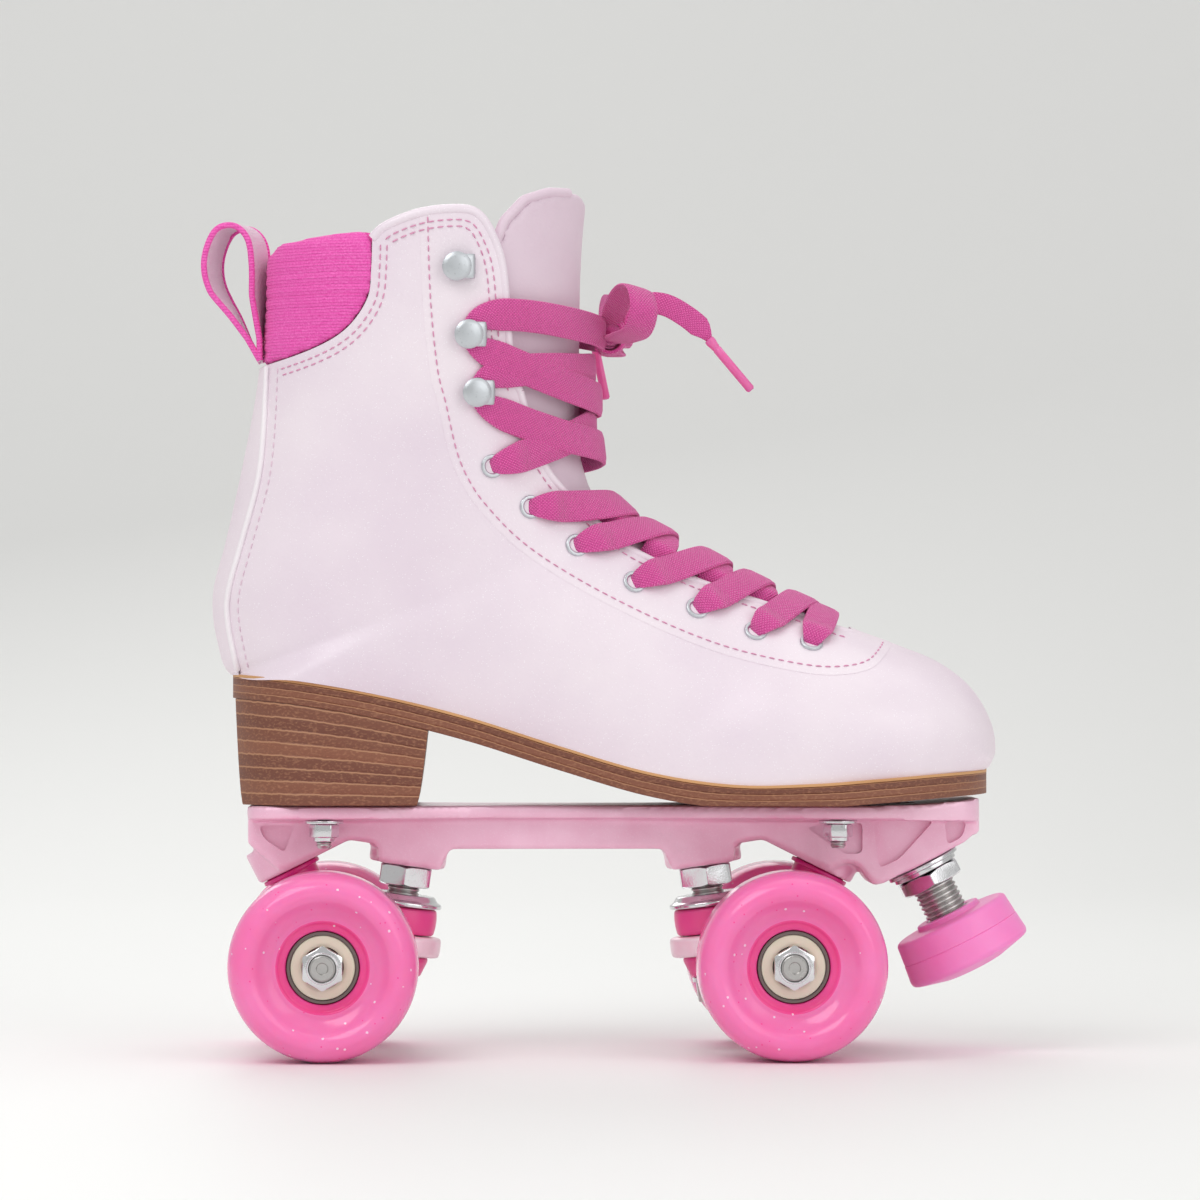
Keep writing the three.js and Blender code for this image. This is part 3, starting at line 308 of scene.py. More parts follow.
def hexagon(name: str, flats: float, height: float, bore: float, base: Triple, direction: Triple,
            crown: float = 0.0) -> bpy.types.Object:
    """A six-sided nut or head with chamfered faces and a bore.

    Args:
        name: the piece's name.
        flats: across its flats.
        height: its height.
        bore: its bore's radius, or 0 for none.
        base: the middle of its base.
        direction: which way it stands.
        crown: height of a lock ring within its top, or 0 for none.

    Returns:
        The finished piece.
    """
    bpy.ops.object.select_all(action="DESELECT")
    bpy.ops.mesh.primitive_cylinder_add(vertices=6, radius=flats / math.sqrt(3) * MM, depth=height * MM,
                                        location=(0, 0, height / 2 * MM))
    piece = bpy.context.object
    piece.name = name
    bpy.ops.object.transform_apply(location=True, rotation=True, scale=True)
    bpy.ops.object.mode_set(mode="EDIT")
    bpy.ops.mesh.select_all(action="SELECT")
    bpy.ops.mesh.bevel(offset=0.35 * MM, segments=3)
    bpy.ops.object.mode_set(mode="OBJECT")
    corner = flats / math.sqrt(3)
    slope = (corner - flats * 0.49) * 0.55
    limit = [(0, -0.1), (flats * 0.48, -0.1), (corner + 0.05, slope), (corner + 0.05, height - slope),
             (flats * 0.48, height + 0.02), (0, height + 0.02)]
    cut(piece, lathe("limit", limit, (0, 0, 0), (0, 0, 1), 48), Cut.INSIDE)
    if bore:
        rim = bore * 1.18
        hole = [(0, -1), (rim, -1), (rim, 0), (bore, rim - bore), (bore, height - rim + bore),
                (rim, height), (rim, height + 1), (0, height + 1)]
        cut(piece, lathe("hole", hole, (0, 0, 0), (0, 0, 1), 48), Cut.LESS)
    if crown:
        ring = fillet([(bore + 0.1, height - 1), (flats * 0.42, height - 1), (flats * 0.4, height + crown),
                       (bore + 0.1, height + crown)], 0.4)
        piece = merged(name, [piece, lathe("crown", ring, (0, 0, 0), (0, 0, 1), 48)])
    place(piece, base, direction)
    return smooth(piece, 30)


def thread(radius: float, depth: float, pitch: float, start: float, end: float) -> list:
    """The zigzag of a thread's side, as (radius, height) pairs from start to end."""
    profile = []
    for i in range(int((end - start) / pitch)):
        low = start + i * pitch
        profile += [(radius - depth, low), (radius, low + 0.35 * pitch), (radius, low + 0.6 * pitch)]
    return profile + [(radius - depth, end)]


def melt(piece: bpy.types.Object, voxel: float, rounds: int, degrees: float) -> bpy.types.Object:
    """Melts overlapping solids into one with rounded edges.

    Args:
        piece: an object whose closed parts overlap.
        voxel: how fine the new mesh is, in millimetres.
        rounds: how often it is smoothed.
        degrees: the sharpest edge that is shaded smooth.

    Returns:
        The same object.
    """
    modify(piece, "REMESH", mode="VOXEL", voxel_size=voxel * MM, adaptivity=0.0)
    modify(piece, "SMOOTH", factor=0.5, iterations=rounds)
    LOG.info("melted %s: %d faces", piece.name, len(piece.data.polygons))
    return smooth(piece, degrees)


def corners(piece: bpy.types.Object) -> np.ndarray:
    """The piece's corners in millimetres, one row each."""
    flat = np.empty(3 * len(piece.data.vertices))
    piece.data.vertices.foreach_get("co", flat)
    return flat.reshape(-1, 3) / MM


def set_corners(piece: bpy.types.Object, points: np.ndarray) -> None:
    """Moves the piece's corners to points, in millimetres."""
    piece.data.vertices.foreach_set("co", (points * MM).ravel())
    piece.data.update()


def facings(piece: bpy.types.Object) -> np.ndarray:
    """The piece's corner normals, one row each."""
    flat = np.empty(3 * len(piece.data.vertices))
    piece.data.vertex_normals.foreach_get("vector", flat)
    return flat.reshape(-1, 3)


def spline(points: list, count: int) -> np.ndarray:
    """Points of an even Catmull-Rom line through points of any dimension."""
    known = np.array(points, float)
    last = len(known) - 1
    result = []
    for k in range(count + 1):
        place_on = last * k / count
        i = min(int(place_on), last - 1)
        share = place_on - i
        p0, p1, p2, p3 = known[max(i - 1, 0)], known[i], known[i + 1], known[min(i + 2, last)]
        v0, v1 = (p2 - p0) / 2, (p3 - p1) / 2
        result.append((2 * p1 - 2 * p2 + v0 + v1) * share ** 3 + (3 * p2 - 3 * p1 - 2 * v0 - v1) * share ** 2
                      + v0 * share + p1)
    return np.array(result)


def chordal(points: np.ndarray, where: np.ndarray) -> np.ndarray:
    """Points of a centripetal Catmull-Rom line, at shares from 0 to 1 of its stretches.

    Args:
        points: the points it goes through, one row each.
        where: the shares.

    Returns:
        One row for each share.
    """
    known = np.vstack([2 * points[0] - points[1], points, 2 * points[-1] - points[-2]])
    last = len(points) - 1
    along = np.clip(where, 0, 1) * last
    i = np.minimum(along.astype(int), last - 1)
    share = (along - i)[:, None]
    x0, x1, x2, x3 = known[i], known[i + 1], known[i + 2], known[i + 3]
    d0, d1, d2 = (np.sqrt(np.linalg.norm(b - a, axis=1))[:, None] for a, b in ((x0, x1), (x1, x2), (x2, x3)))
    t1 = ((x1 - x0) / d0 - (x2 - x0) / (d0 + d1) + (x2 - x1) / d1) * d1
    t2 = ((x2 - x1) / d1 - (x3 - x1) / (d1 + d2) + (x3 - x2) / d2) * d1
    return (x1 + t1 * share + (-3 * x1 + 3 * x2 - 2 * t1 - t2) * share ** 2
            + (2 * x1 - 2 * x2 + t1 + t2) * share ** 3)


def even(points: np.ndarray, gap: float) -> np.ndarray:
    """The line through points, resampled to stretches of about gap."""
    steps = np.linalg.norm(np.diff(points, axis=0), axis=1)
    run = np.concatenate([[0], np.cumsum(steps)])
    count = max(int(round(run[-1] / gap)), 1)
    at = np.linspace(0, run[-1], count + 1)
    return np.stack([np.interp(at, run, points[:, k]) for k in range(points.shape[1])], axis=1)


def ribbon(name: str, path: np.ndarray, normals: np.ndarray, widths: np.ndarray,
           height: np.ndarray | float) -> bpy.types.Object:
    """A flat woven band with thick rounded edges, and a UV map in millimetres.

    Args:
        name: the piece's name.
        path: its middle line.
        normals: which way its face looks at each point.
        widths: its width at each point.
        height: its thickness, the same all along or one for each point.

    Returns:
        The closed band.
    """
    along = np.gradient(path, axis=0)
    along /= np.linalg.norm(along, axis=1)[:, None]
    across = np.cross(normals, along)
    across /= np.linalg.norm(across, axis=1)[:, None]
    over = np.cross(along, across)
    section = [(-0.47, -0.3), (-0.3, -0.48), (0, -0.5), (0.3, -0.48), (0.47, -0.3), (0.5, 0),
               (0.47, 0.3), (0.3, 0.48), (0, 0.5), (-0.3, 0.48), (-0.47, 0.3), (-0.5, 0)]
    around = len(section)
    heights = np.broadcast_to(height, len(path))
    points = []
    for i, point in enumerate(path):
        for side, level in section:
            points.append(point + across[i] * side * widths[i] + over[i] * level * heights[i])
    last = len(path) - 1
    piece = mesh_piece(name, points, quads(last, around) + caps(last, around))
    run = np.concatenate([[0], np.cumsum(np.linalg.norm(np.diff(path, axis=0), axis=1))])
    layer = piece.data.uv_layers.new(name="weave")
    for polygon in piece.data.polygons:
        for loop in polygon.loop_indices:
            corner = piece.data.loops[loop].vertex_index
            side, _ = section[corner % around]
            layer.data[loop].uv = (run[corner // around], side * widths[corner // around])
    outward(piece)
    return smooth(piece, 50)


def stitches(name: str, path: np.ndarray, normals: np.ndarray, pitch: float = 2.9,
             length: float = 2.0, thick: float = 0.42) -> bpy.types.Object:
    """A row of thread stitches that lie along a line and dip at their ends.

    Args:
        name: the piece's name.
        path: the line, on the surface that is sewn.
        normals: the surface's normal at each point of path.
        pitch: from one stitch to the next.
        length: of one stitch.
        thick: the thread's thickness.

    Returns:
        All the stitches as one object.
    """
    full = even(np.hstack([path, normals]), pitch)
    shape = ((-0.5, 0.3, -0.15), (-0.3, 1, 0.2), (0, 1.1, 0.3), (0.3, 1, 0.2), (0.5, 0.3, -0.15))
    points, faces = [], []
    sides = 6
    for i in range(len(full) - 1):
        middle = (full[i] + full[i + 1]) / 2
        along = full[i + 1][:3] - full[i][:3]
        along /= np.linalg.norm(along)
        up = middle[3:] / np.linalg.norm(middle[3:])
        across = np.cross(up, along)
        base = len(points)
        for share, size, lift in shape:
            centre = middle[:3] + along * share * length + up * lift * thick
            for k in range(sides):
                angle = math.tau * k / sides
                points.append(centre + (across * math.cos(angle) + up * math.sin(angle)) * thick / 2 * size)
        faces += quads(len(shape) - 1, sides, base) + caps(len(shape) - 1, sides, base)
    piece = mesh_piece(name, points, faces)
    outward(piece)
    return smooth(piece, 80)


def cable(name: str, path: np.ndarray, radius: float, sides: int = 12) -> bpy.types.Object:
    """A round piping or edge roll along a line."""
    along = np.gradient(path, axis=0)
    along /= np.linalg.norm(along, axis=1)[:, None]
    side = np.cross(along, np.where(np.abs(along[:, :1]) > 0.9, [[0.0, 1.0, 0.0]], [[1.0, 0.0, 0.0]]))
    guide = side[0] / np.linalg.norm(side[0])
    points = []
    for i, point in enumerate(path):
        guide = guide - along[i] * guide.dot(along[i])
        guide /= np.linalg.norm(guide)
        other = np.cross(along[i], guide)
        for k in range(sides):
            angle = math.tau * k / sides
            points.append(point + (guide * math.cos(angle) + other * math.sin(angle)) * radius)
    last = len(path) - 1
    piece = mesh_piece(name, points, quads(last, sides) + caps(last, sides))
    outward(piece)
    return smooth(piece, 60)


# ---------------------------------------------------------------- materials


class Effects:
    """Shader node groups that several finishes share, each built once."""

    def __init__(self) -> None:
        """Builds every group."""
        self.grain = self._grain()
        self.weave = self._weave()
        self.glitter = self._glitter()
        self.blotch = self._blotch()

    @staticmethod
    def _group(name: str, inputs: dict, outputs: dict) -> tuple:
        """Starts a group with named sockets.

        Args:
            name: the group's name.
            inputs: socket type and default for each input name.
            outputs: socket type for each output name.

        Returns:
            The group, its input node and its output node.
        """
        tree = bpy.data.node_groups.new(name, "ShaderNodeTree")
        for key, (kind, value) in inputs.items():
            socket = tree.interface.new_socket(key, in_out="INPUT", socket_type=kind)
            if value is not None:
                socket.default_value = value
        for key, kind in outputs.items():
            tree.interface.new_socket(key, in_out="OUTPUT", socket_type=kind)
        return tree, tree.nodes.new("NodeGroupInput"), tree.nodes.new("NodeGroupOutput")

    @staticmethod
    def math(tree: bpy.types.NodeTree, operation: str, *values: object) -> bpy.types.NodeSocket:
        """Adds a Math node whose inputs are sockets or numbers, and returns its output."""
        node = tree.nodes.new("ShaderNodeMath")
        node.operation = operation
        for i, value in enumerate(values):
            if isinstance(value, (int, float)):
                node.inputs[i].default_value = value
            else:
                tree.links.new(value, node.inputs[i])
        return node.outputs[0]

    @staticmethod
    def noise(tree: bpy.types.NodeTree, vector: object, scale: object, detail: float = 3.0) -> bpy.types.NodeSocket:
        """Adds a Noise node and returns its value, from 0 to 1."""
        node = tree.nodes.new("ShaderNodeTexNoise")
        node.inputs["Detail"].default_value = detail
        tree.links.new(vector, node.inputs["Vector"])
        if isinstance(scale, (int, float)):
            node.inputs["Scale"].default_value = scale
        else:
            tree.links.new(scale, node.inputs["Scale"])
        return node.outputs["Fac"]

    def _grain(self) -> bpy.types.NodeTree:
        """Leather pebbles with fine pores."""
        tree, start, end = self._group("leather_grain", {
            "Vector": ("NodeSocketVector", None), "Scale": ("NodeSocketFloat", 900.0)},
            {"Height": "NodeSocketFloat", "Tone": "NodeSocketFloat"})
        cells = tree.nodes.new("ShaderNodeTexVoronoi")
        cells.feature = "SMOOTH_F1"
        tree.links.new(start.outputs["Vector"], cells.inputs["Vector"])
        tree.links.new(start.outputs["Scale"], cells.inputs["Scale"])
        fine = self.noise(tree, start.outputs["Vector"], self.math(tree, "MULTIPLY", start.outputs["Scale"], 2.6))
        height = self.math(tree, "ADD", cells.outputs["Distance"], self.math(tree, "MULTIPLY", fine, 0.5))
        tone = self.noise(tree, start.outputs["Vector"], 55.0)
        tree.links.new(height, end.inputs["Height"])
        tree.links.new(tone, end.inputs["Tone"])
        return tree

    def _weave(self) -> bpy.types.NodeTree:
        """A flat braid: two sets of threads that pass over each other. Its Tone is low in the hollows between the
        threads, for painted shade there.
        """
        tree, start, end = self._group("flat_weave", {
            "Vector": ("NodeSocketVector", None), "Thread": ("NodeSocketFloat", 0.9)},
            {"Height": "NodeSocketFloat", "Tone": "NodeSocketFloat"})
        split = tree.nodes.new("ShaderNodeSeparateXYZ")
        tree.links.new(start.outputs["Vector"], split.inputs[0])
        plus = self.math(tree, "ADD", split.outputs[0], split.outputs[1])
        minus = self.math(tree, "SUBTRACT", split.outputs[0], split.outputs[1])
        waves = []
        for line in (plus, minus):
            turn = self.math(tree, "DIVIDE", line, start.outputs["Thread"])
            waves.append(self.math(tree, "SINE", self.math(tree, "MULTIPLY", turn, math.pi)))
        product = self.math(tree, "MULTIPLY", waves[0], waves[1])
        height = self.math(tree, "ABSOLUTE", product)
        fuzz = self.noise(tree, start.outputs["Vector"], 3.0)
        total = self.math(tree, "ADD", height, self.math(tree, "MULTIPLY", fuzz, 0.5))
        tree.links.new(total, end.inputs["Height"])
        # Tone: painted shade, low in the hollows between the threads
        tree.links.new(self.math(tree, "MULTIPLY", total, 0.66), end.inputs["Tone"])
        return tree

    def _glitter(self) -> bpy.types.NodeTree:
        """Scattered flakes: 1 on a few small cells, 0 elsewhere."""
        tree, start, end = self._group("glitter_flakes", {
            "Vector": ("NodeSocketVector", None), "Scale": ("NodeSocketFloat", 1500.0),
            "Share": ("NodeSocketFloat", 0.04)}, {"Mask": "NodeSocketFloat"})
        cells = tree.nodes.new("ShaderNodeTexVoronoi")
        tree.links.new(start.outputs["Vector"], cells.inputs["Vector"])
        tree.links.new(start.outputs["Scale"], cells.inputs["Scale"])
        split = tree.nodes.new("ShaderNodeSeparateColor")
        tree.links.new(cells.outputs["Color"], split.inputs[0])
        picked = self.math(tree, "LESS_THAN", split.outputs[0], start.outputs["Share"])
        near = self.math(tree, "LESS_THAN", cells.outputs["Distance"], 0.38)
        tree.links.new(self.math(tree, "MULTIPLY", picked, near), end.inputs["Mask"])
        return tree

    def _blotch(self) -> bpy.types.NodeTree:
        """Soft uneven patches, with fine streaks for scuffs."""
        tree, start, end = self._group("uneven_patches", {
            "Vector": ("NodeSocketVector", None), "Scale": ("NodeSocketFloat", 60.0)},
            {"Patch": "NodeSocketFloat", "Scuff": "NodeSocketFloat"})
        patch = self.noise(tree, start.outputs["Vector"], start.outputs["Scale"], 4.0)
        fine = self.noise(tree, start.outputs["Vector"], self.math(tree, "MULTIPLY", start.outputs["Scale"], 9.0), 6.0)
        scuff = self.math(tree, "MULTIPLY", self.math(tree, "GREATER_THAN", fine, 0.64), patch)
        tree.links.new(patch, end.inputs["Patch"])
        tree.links.new(scuff, end.inputs["Scuff"])
        return tree


def linear(colour: Triple) -> tuple:
    """The linear colour of an sRGB colour given from 0 to 255, with alpha 1."""
    def channel(value: float) -> float:
        """One channel, sRGB to linear."""
        share = value / 255
        return share / 12.92 if share <= 0.04045 else ((share + 0.055) / 1.055) ** 2.4
    return tuple(channel(value) for value in colour) + (1.0,)


class Dye:
    """A material being mixed, with its Principled shader."""

    def __init__(self, name: str) -> None:
        """Starts the material of that name."""
        self.material = bpy.data.materials.new(name)
        self.material.use_nodes = True
        self.tree = self.material.node_tree
        self.shader = self.tree.nodes["Principled BSDF"]
        self.coordinates = self.tree.nodes.new("ShaderNodeTexCoord")

    def set(self, **values: object) -> None:
        """Sets constant inputs of the shader; an underscore stands for a space."""
        for key, value in values.items():
            self.shader.inputs[key.replace("_", " ")].default_value = value

    def group(self, tree: bpy.types.NodeTree, vector: object = None, **values: float) -> bpy.types.Node:
        """Places a shared group, fed by Object coordinates unless vector is given."""
        node = self.tree.nodes.new("ShaderNodeGroup")
        node.node_tree = tree
        self.tree.links.new(vector or self.coordinates.outputs["Object"], node.inputs["Vector"])
        for key, value in values.items():
            node.inputs[key].default_value = value
        return node

    def mix(self, share: object, first: object, second: object) -> bpy.types.NodeSocket:
        """Mixes two colours, each a socket or a linear colour."""
        node = self.tree.nodes.new("ShaderNodeMix")
        node.data_type = "RGBA"
        for socket, value in ((node.inputs[0], share), (node.inputs[6], first), (node.inputs[7], second)):
            if isinstance(value, bpy.types.NodeSocket):
                self.tree.links.new(value, socket)
            else:
                socket.default_value = value
        return node.outputs[2]

    def ramp(self, value: object, low: float, high: float, start: float = 0.0,
             end: float = 1.0) -> bpy.types.NodeSocket:
        """Maps value from start..end to low..high, and holds it there."""
        node = self.tree.nodes.new("ShaderNodeMapRange")
        self.tree.links.new(value, node.inputs["Value"])
        for key, number in (("From Min", start), ("From Max", end), ("To Min", low), ("To Max", high)):
            node.inputs[key].default_value = number
        return node.outputs["Result"]

    def feed(self, socket: str, value: object) -> None:
        """Links value to one of the shader's inputs."""
        self.tree.links.new(value, self.shader.inputs[socket])

    def bump(self, height: object, distance: float) -> None:
        """Feeds the shader's Normal from a height, distance in millimetres."""
        node = self.tree.nodes.new("ShaderNodeBump")
        node.inputs["Strength"].default_value = 1.0
        node.inputs["Distance"].default_value = distance * MM
        self.tree.links.new(height, node.inputs["Height"])
        self.feed("Normal", node.outputs["Normal"])


@dataclass(frozen=True)
class Leather:
    """A coated leather: its colours, gloss and grain."""

    name: str
    colour: Triple
    shade: Triple
    roughness: float = 0.36
    scale: float = 900.0
    depth: float = 0.05
    pearl: float = 0.0

    def make(self, effects: Effects) -> bpy.types.Material:
        """Mixes the material."""
        dye = Dye(self.name)
        grain = dye.group(effects.grain, Scale=self.scale)
        patch = dye.group(effects.blotch, Scale=22.0)
        base = dye.mix(dye.ramp(patch.outputs["Patch"], 0, 1, 0.35, 0.7), linear(self.colour), linear(self.shade))
        if self.pearl:
            flakes = dye.group(effects.glitter, Scale=2600.0, Share=self.pearl)
            base = dye.mix(dye.ramp(flakes.outputs["Mask"], 0, 0.7), base, linear((255, 250, 255)))
            dye.set(Coat_Weight=0.35, Coat_Roughness=0.25, Sheen_Weight=0.15, Sheen_Tint=linear((255, 200, 230)))
        dye.feed("Base Color", base)
        dye.feed("Roughness", dye.ramp(grain.outputs["Tone"], self.roughness - 0.06, self.roughness + 0.1, 0.3, 0.7))
        dye.bump(grain.outputs["Height"], self.depth)
        return dye.material


@dataclass(frozen=True)
class Cloth:
    """A woven or braided cloth that follows its piece's UV map, or its place, with painted shade in the hollows of its
    weave.
    """

    name: str
    colour: Triple
    shade: Triple
    thread: float = 0.8
    mapped: bool = True
    depth: float = 0.25

    def make(self, effects: Effects) -> bpy.types.Material:
        """Mixes the material."""
        dye = Dye(self.name)
        if self.mapped:
            vector = dye.coordinates.outputs["UV"]
        else:
            scale = dye.tree.nodes.new("ShaderNodeMapping")
            scale.inputs["Scale"].default_value = (1000, 1000, 1000)
            scale.inputs["Rotation"].default_value = (math.radians(90), 0, 0)
            dye.tree.links.new(dye.coordinates.outputs["Object"], scale.inputs["Vector"])
            vector = scale.outputs["Vector"]
        weave = dye.group(effects.weave, vector, Thread=self.thread)
        patch = dye.group(effects.blotch, Scale=45.0)
        # painted shade: the shade colour fills the hollows of the weave
        base = dye.mix(dye.ramp(weave.outputs["Tone"], 0, 1, 0.15, 0.75), linear(self.shade), linear(self.colour))
        base = dye.mix(dye.ramp(patch.outputs["Patch"], 0, 0.25, 0.4, 0.8), base, linear(self.shade))
        dye.feed("Base Color", base)
        dye.set(Roughness=0.85, Sheen_Weight=0.35, Sheen_Roughness=0.4)
        dye.bump(weave.outputs["Height"], self.depth)
        return dye.material


@dataclass(frozen=True)
class Casting:
    """A pearl paint over cast metal, with a faint cast skin and fine flakes."""

    name: str
    colour: Triple
    shade: Triple
    roughness: float = 0.33
    metallic: float = 0.55

    def make(self, effects: Effects) -> bpy.types.Material:
        """Mixes the material."""
        dye = Dye(self.name)
        flakes = dye.group(effects.glitter, Scale=3000.0, Share=0.12)
        patch = dye.group(effects.blotch, Scale=70.0)
        base = dye.mix(dye.ramp(patch.outputs["Patch"], 0, 1, 0.35, 0.7), linear(self.colour), linear(self.shade))
        base = dye.mix(dye.ramp(flakes.outputs["Mask"], 0, 0.55), base, linear((255, 225, 240)))
        dye.feed("Base Color", base)
        dye.feed("Roughness", dye.ramp(patch.outputs["Patch"], self.roughness - 0.05, self.roughness + 0.12, 0.3, 0.7))
        dye.set(Metallic=self.metallic, Coat_Weight=0.4, Coat_Roughness=0.18)
        skin = Effects.noise(dye.tree, dye.coordinates.outputs["Object"], 500.0, 4.0)
        dye.bump(skin, 0.12)
        return dye.material


@dataclass(frozen=True)
class Plated:
    """Plated steel with a fine bumpy grain and a little dirt."""

    name: str
    colour: Triple
    roughness: float = 0.16
    depth: float = 0.02

    def make(self, effects: Effects) -> bpy.types.Material:
        """Mixes the material."""
        dye = Dye(self.name)
        patch = dye.group(effects.blotch, Scale=140.0)
        dye.feed("Base Color", dye.mix(dye.ramp(patch.outputs["Scuff"], 0, 0.4), linear(self.colour),
                                       linear(tuple(0.6 * value for value in self.colour))))
        dye.feed("Roughness", dye.ramp(patch.outputs["Patch"], self.roughness, self.roughness + 0.14, 0.3, 0.75))
        dye.set(Metallic=1.0)
        fine = Effects.noise(dye.tree, dye.coordinates.outputs["Object"], 2200.0, 2.0)
        dye.bump(fine, self.depth)
        return dye.material


@dataclass(frozen=True)
class Urethane:
    """Cast urethane or rubber: translucent, with flakes where it has them."""

    name: str
    colour: Triple
    shade: Triple
    roughness: float = 0.2
    glow: float = 0.35
    flakes: float = 0.0

    def make(self, effects: Effects) -> bpy.types.Material:
        """Mixes the material."""
        dye = Dye(self.name)
        patch = dye.group(effects.blotch, Scale=50.0)
        base = dye.mix(dye.ramp(patch.outputs["Patch"], 0, 1, 0.3, 0.75), linear(self.colour), linear(self.shade))
        if self.flakes:
            for scale, tint in ((900.0, (255, 235, 245)), (1300.0, (255, 60, 150))):
                flake = dye.group(effects.glitter, Scale=scale, Share=self.flakes)
                base = dye.mix(dye.ramp(flake.outputs["Mask"], 0, 0.75), base, linear(tint))
        dye.feed("Base Color", base)
        dye.feed("Roughness", dye.ramp(patch.outputs["Patch"], self.roughness, self.roughness + 0.12, 0.3, 0.7))
        dye.set(Subsurface_Weight=self.glow, Subsurface_Radius=(1.0, 0.35, 0.5), Subsurface_Scale=0.006)
        skin = Effects.noise(dye.tree, dye.coordinates.outputs["Object"], 900.0, 3.0)
        dye.bump(skin, 0.03)
        return dye.material


@dataclass(frozen=True)
class Stacked:
    """The edge of stacked leather: dark layers with pale lines between, from the UV map."""

    name: str
    colour: Triple
    shade: Triple
    line: Triple

    def make(self, effects: Effects) -> bpy.types.Material:
        """Mixes the material."""
        dye = Dye(self.name)
        split = dye.tree.nodes.new("ShaderNodeSeparateXYZ")
        dye.tree.links.new(dye.coordinates.outputs["UV"], split.inputs[0])
        wander = Effects.noise(dye.tree, dye.coordinates.outputs["UV"], 0.35, 2.0)
        level = Effects.math(dye.tree, "ADD", split.outputs[1], Effects.math(dye.tree, "MULTIPLY", wander, 0.22))
        share = Effects.math(dye.tree, "FRACT", level)
        middle = Effects.math(dye.tree, "ABSOLUTE", Effects.math(dye.tree, "SUBTRACT", share, 0.5))
        band = Effects.math(dye.tree, "FLOOR", level)
        stretch = dye.tree.nodes.new("ShaderNodeMapping")
        stretch.inputs["Scale"].default_value = (900, 900, 1700)
        dye.tree.links.new(dye.coordinates.outputs["Object"], stretch.inputs["Vector"])
        fibre = Effects.noise(dye.tree, stretch.outputs["Vector"], 1.0, 5.0)
        tone = dye.tree.nodes.new("ShaderNodeTexWhiteNoise")
        tone.noise_dimensions = "1D"
        dye.tree.links.new(band, tone.inputs["W"])
        base = dye.mix(tone.outputs["Value"], linear(self.colour), linear(self.shade))
        base = dye.mix(dye.ramp(fibre, 0, 0.45, 0.5, 0.72), base, linear(self.line))
        base = dye.mix(dye.ramp(middle, 0, 0.85, 0.41, 0.48), base, linear(self.line))
        dye.feed("Base Color", base)
        dye.feed("Roughness", dye.ramp(fibre, 0.42, 0.62, 0.3, 0.7))
        dye.bump(fibre, 0.12)
        return dye.material


@dataclass(frozen=True)
class Velour:
    """A brushed pile cloth, with fine level ribs where it has them, and painted shade in the grooves between the ribs.
    """

    name: str
    colour: Triple
    shade: Triple
    ribs: float = 0.0

    def make(self, effects: Effects) -> bpy.types.Material:
        """Mixes the material."""
        dye = Dye(self.name)
        pile = Effects.noise(dye.tree, dye.coordinates.outputs["Object"], 1800.0, 4.0)
        patch = dye.group(effects.blotch, Scale=60.0)
        base = dye.mix(dye.ramp(pile, 0, 1, 0.35, 0.65), linear(self.shade), linear(self.colour))
        base = dye.mix(dye.ramp(patch.outputs["Patch"], 0, 0.3, 0.4, 0.75), base, linear(self.shade))
        height = pile
        if self.ribs:
            split = dye.tree.nodes.new("ShaderNodeSeparateXYZ")
            dye.tree.links.new(dye.coordinates.outputs["Object"], split.inputs[0])
            drift = Effects.math(dye.tree, "MULTIPLY", patch.outputs["Patch"], 0.0006)
            level_at = Effects.math(dye.tree, "ADD", split.outputs[2], drift)
            wave = Effects.math(dye.tree, "SINE", Effects.math(dye.tree, "MULTIPLY", level_at, math.tau / self.ribs))
            # painted shade: the shade colour darkens the grooves between the ribs
            base = dye.mix(dye.ramp(wave, 0, 0.35, -0.2, 1.0), base, linear(self.shade))
            height = Effects.math(dye.tree, "SUBTRACT", Effects.math(dye.tree, "MULTIPLY", pile, 0.5), wave)
        dye.feed("Base Color", base)
        dye.set(Roughness=0.9, Sheen_Weight=0.5, Sheen_Roughness=0.35, Sheen_Tint=linear((255, 190, 225)))
        dye.bump(height, 0.3 if not self.ribs else 0.12)
        return dye.material


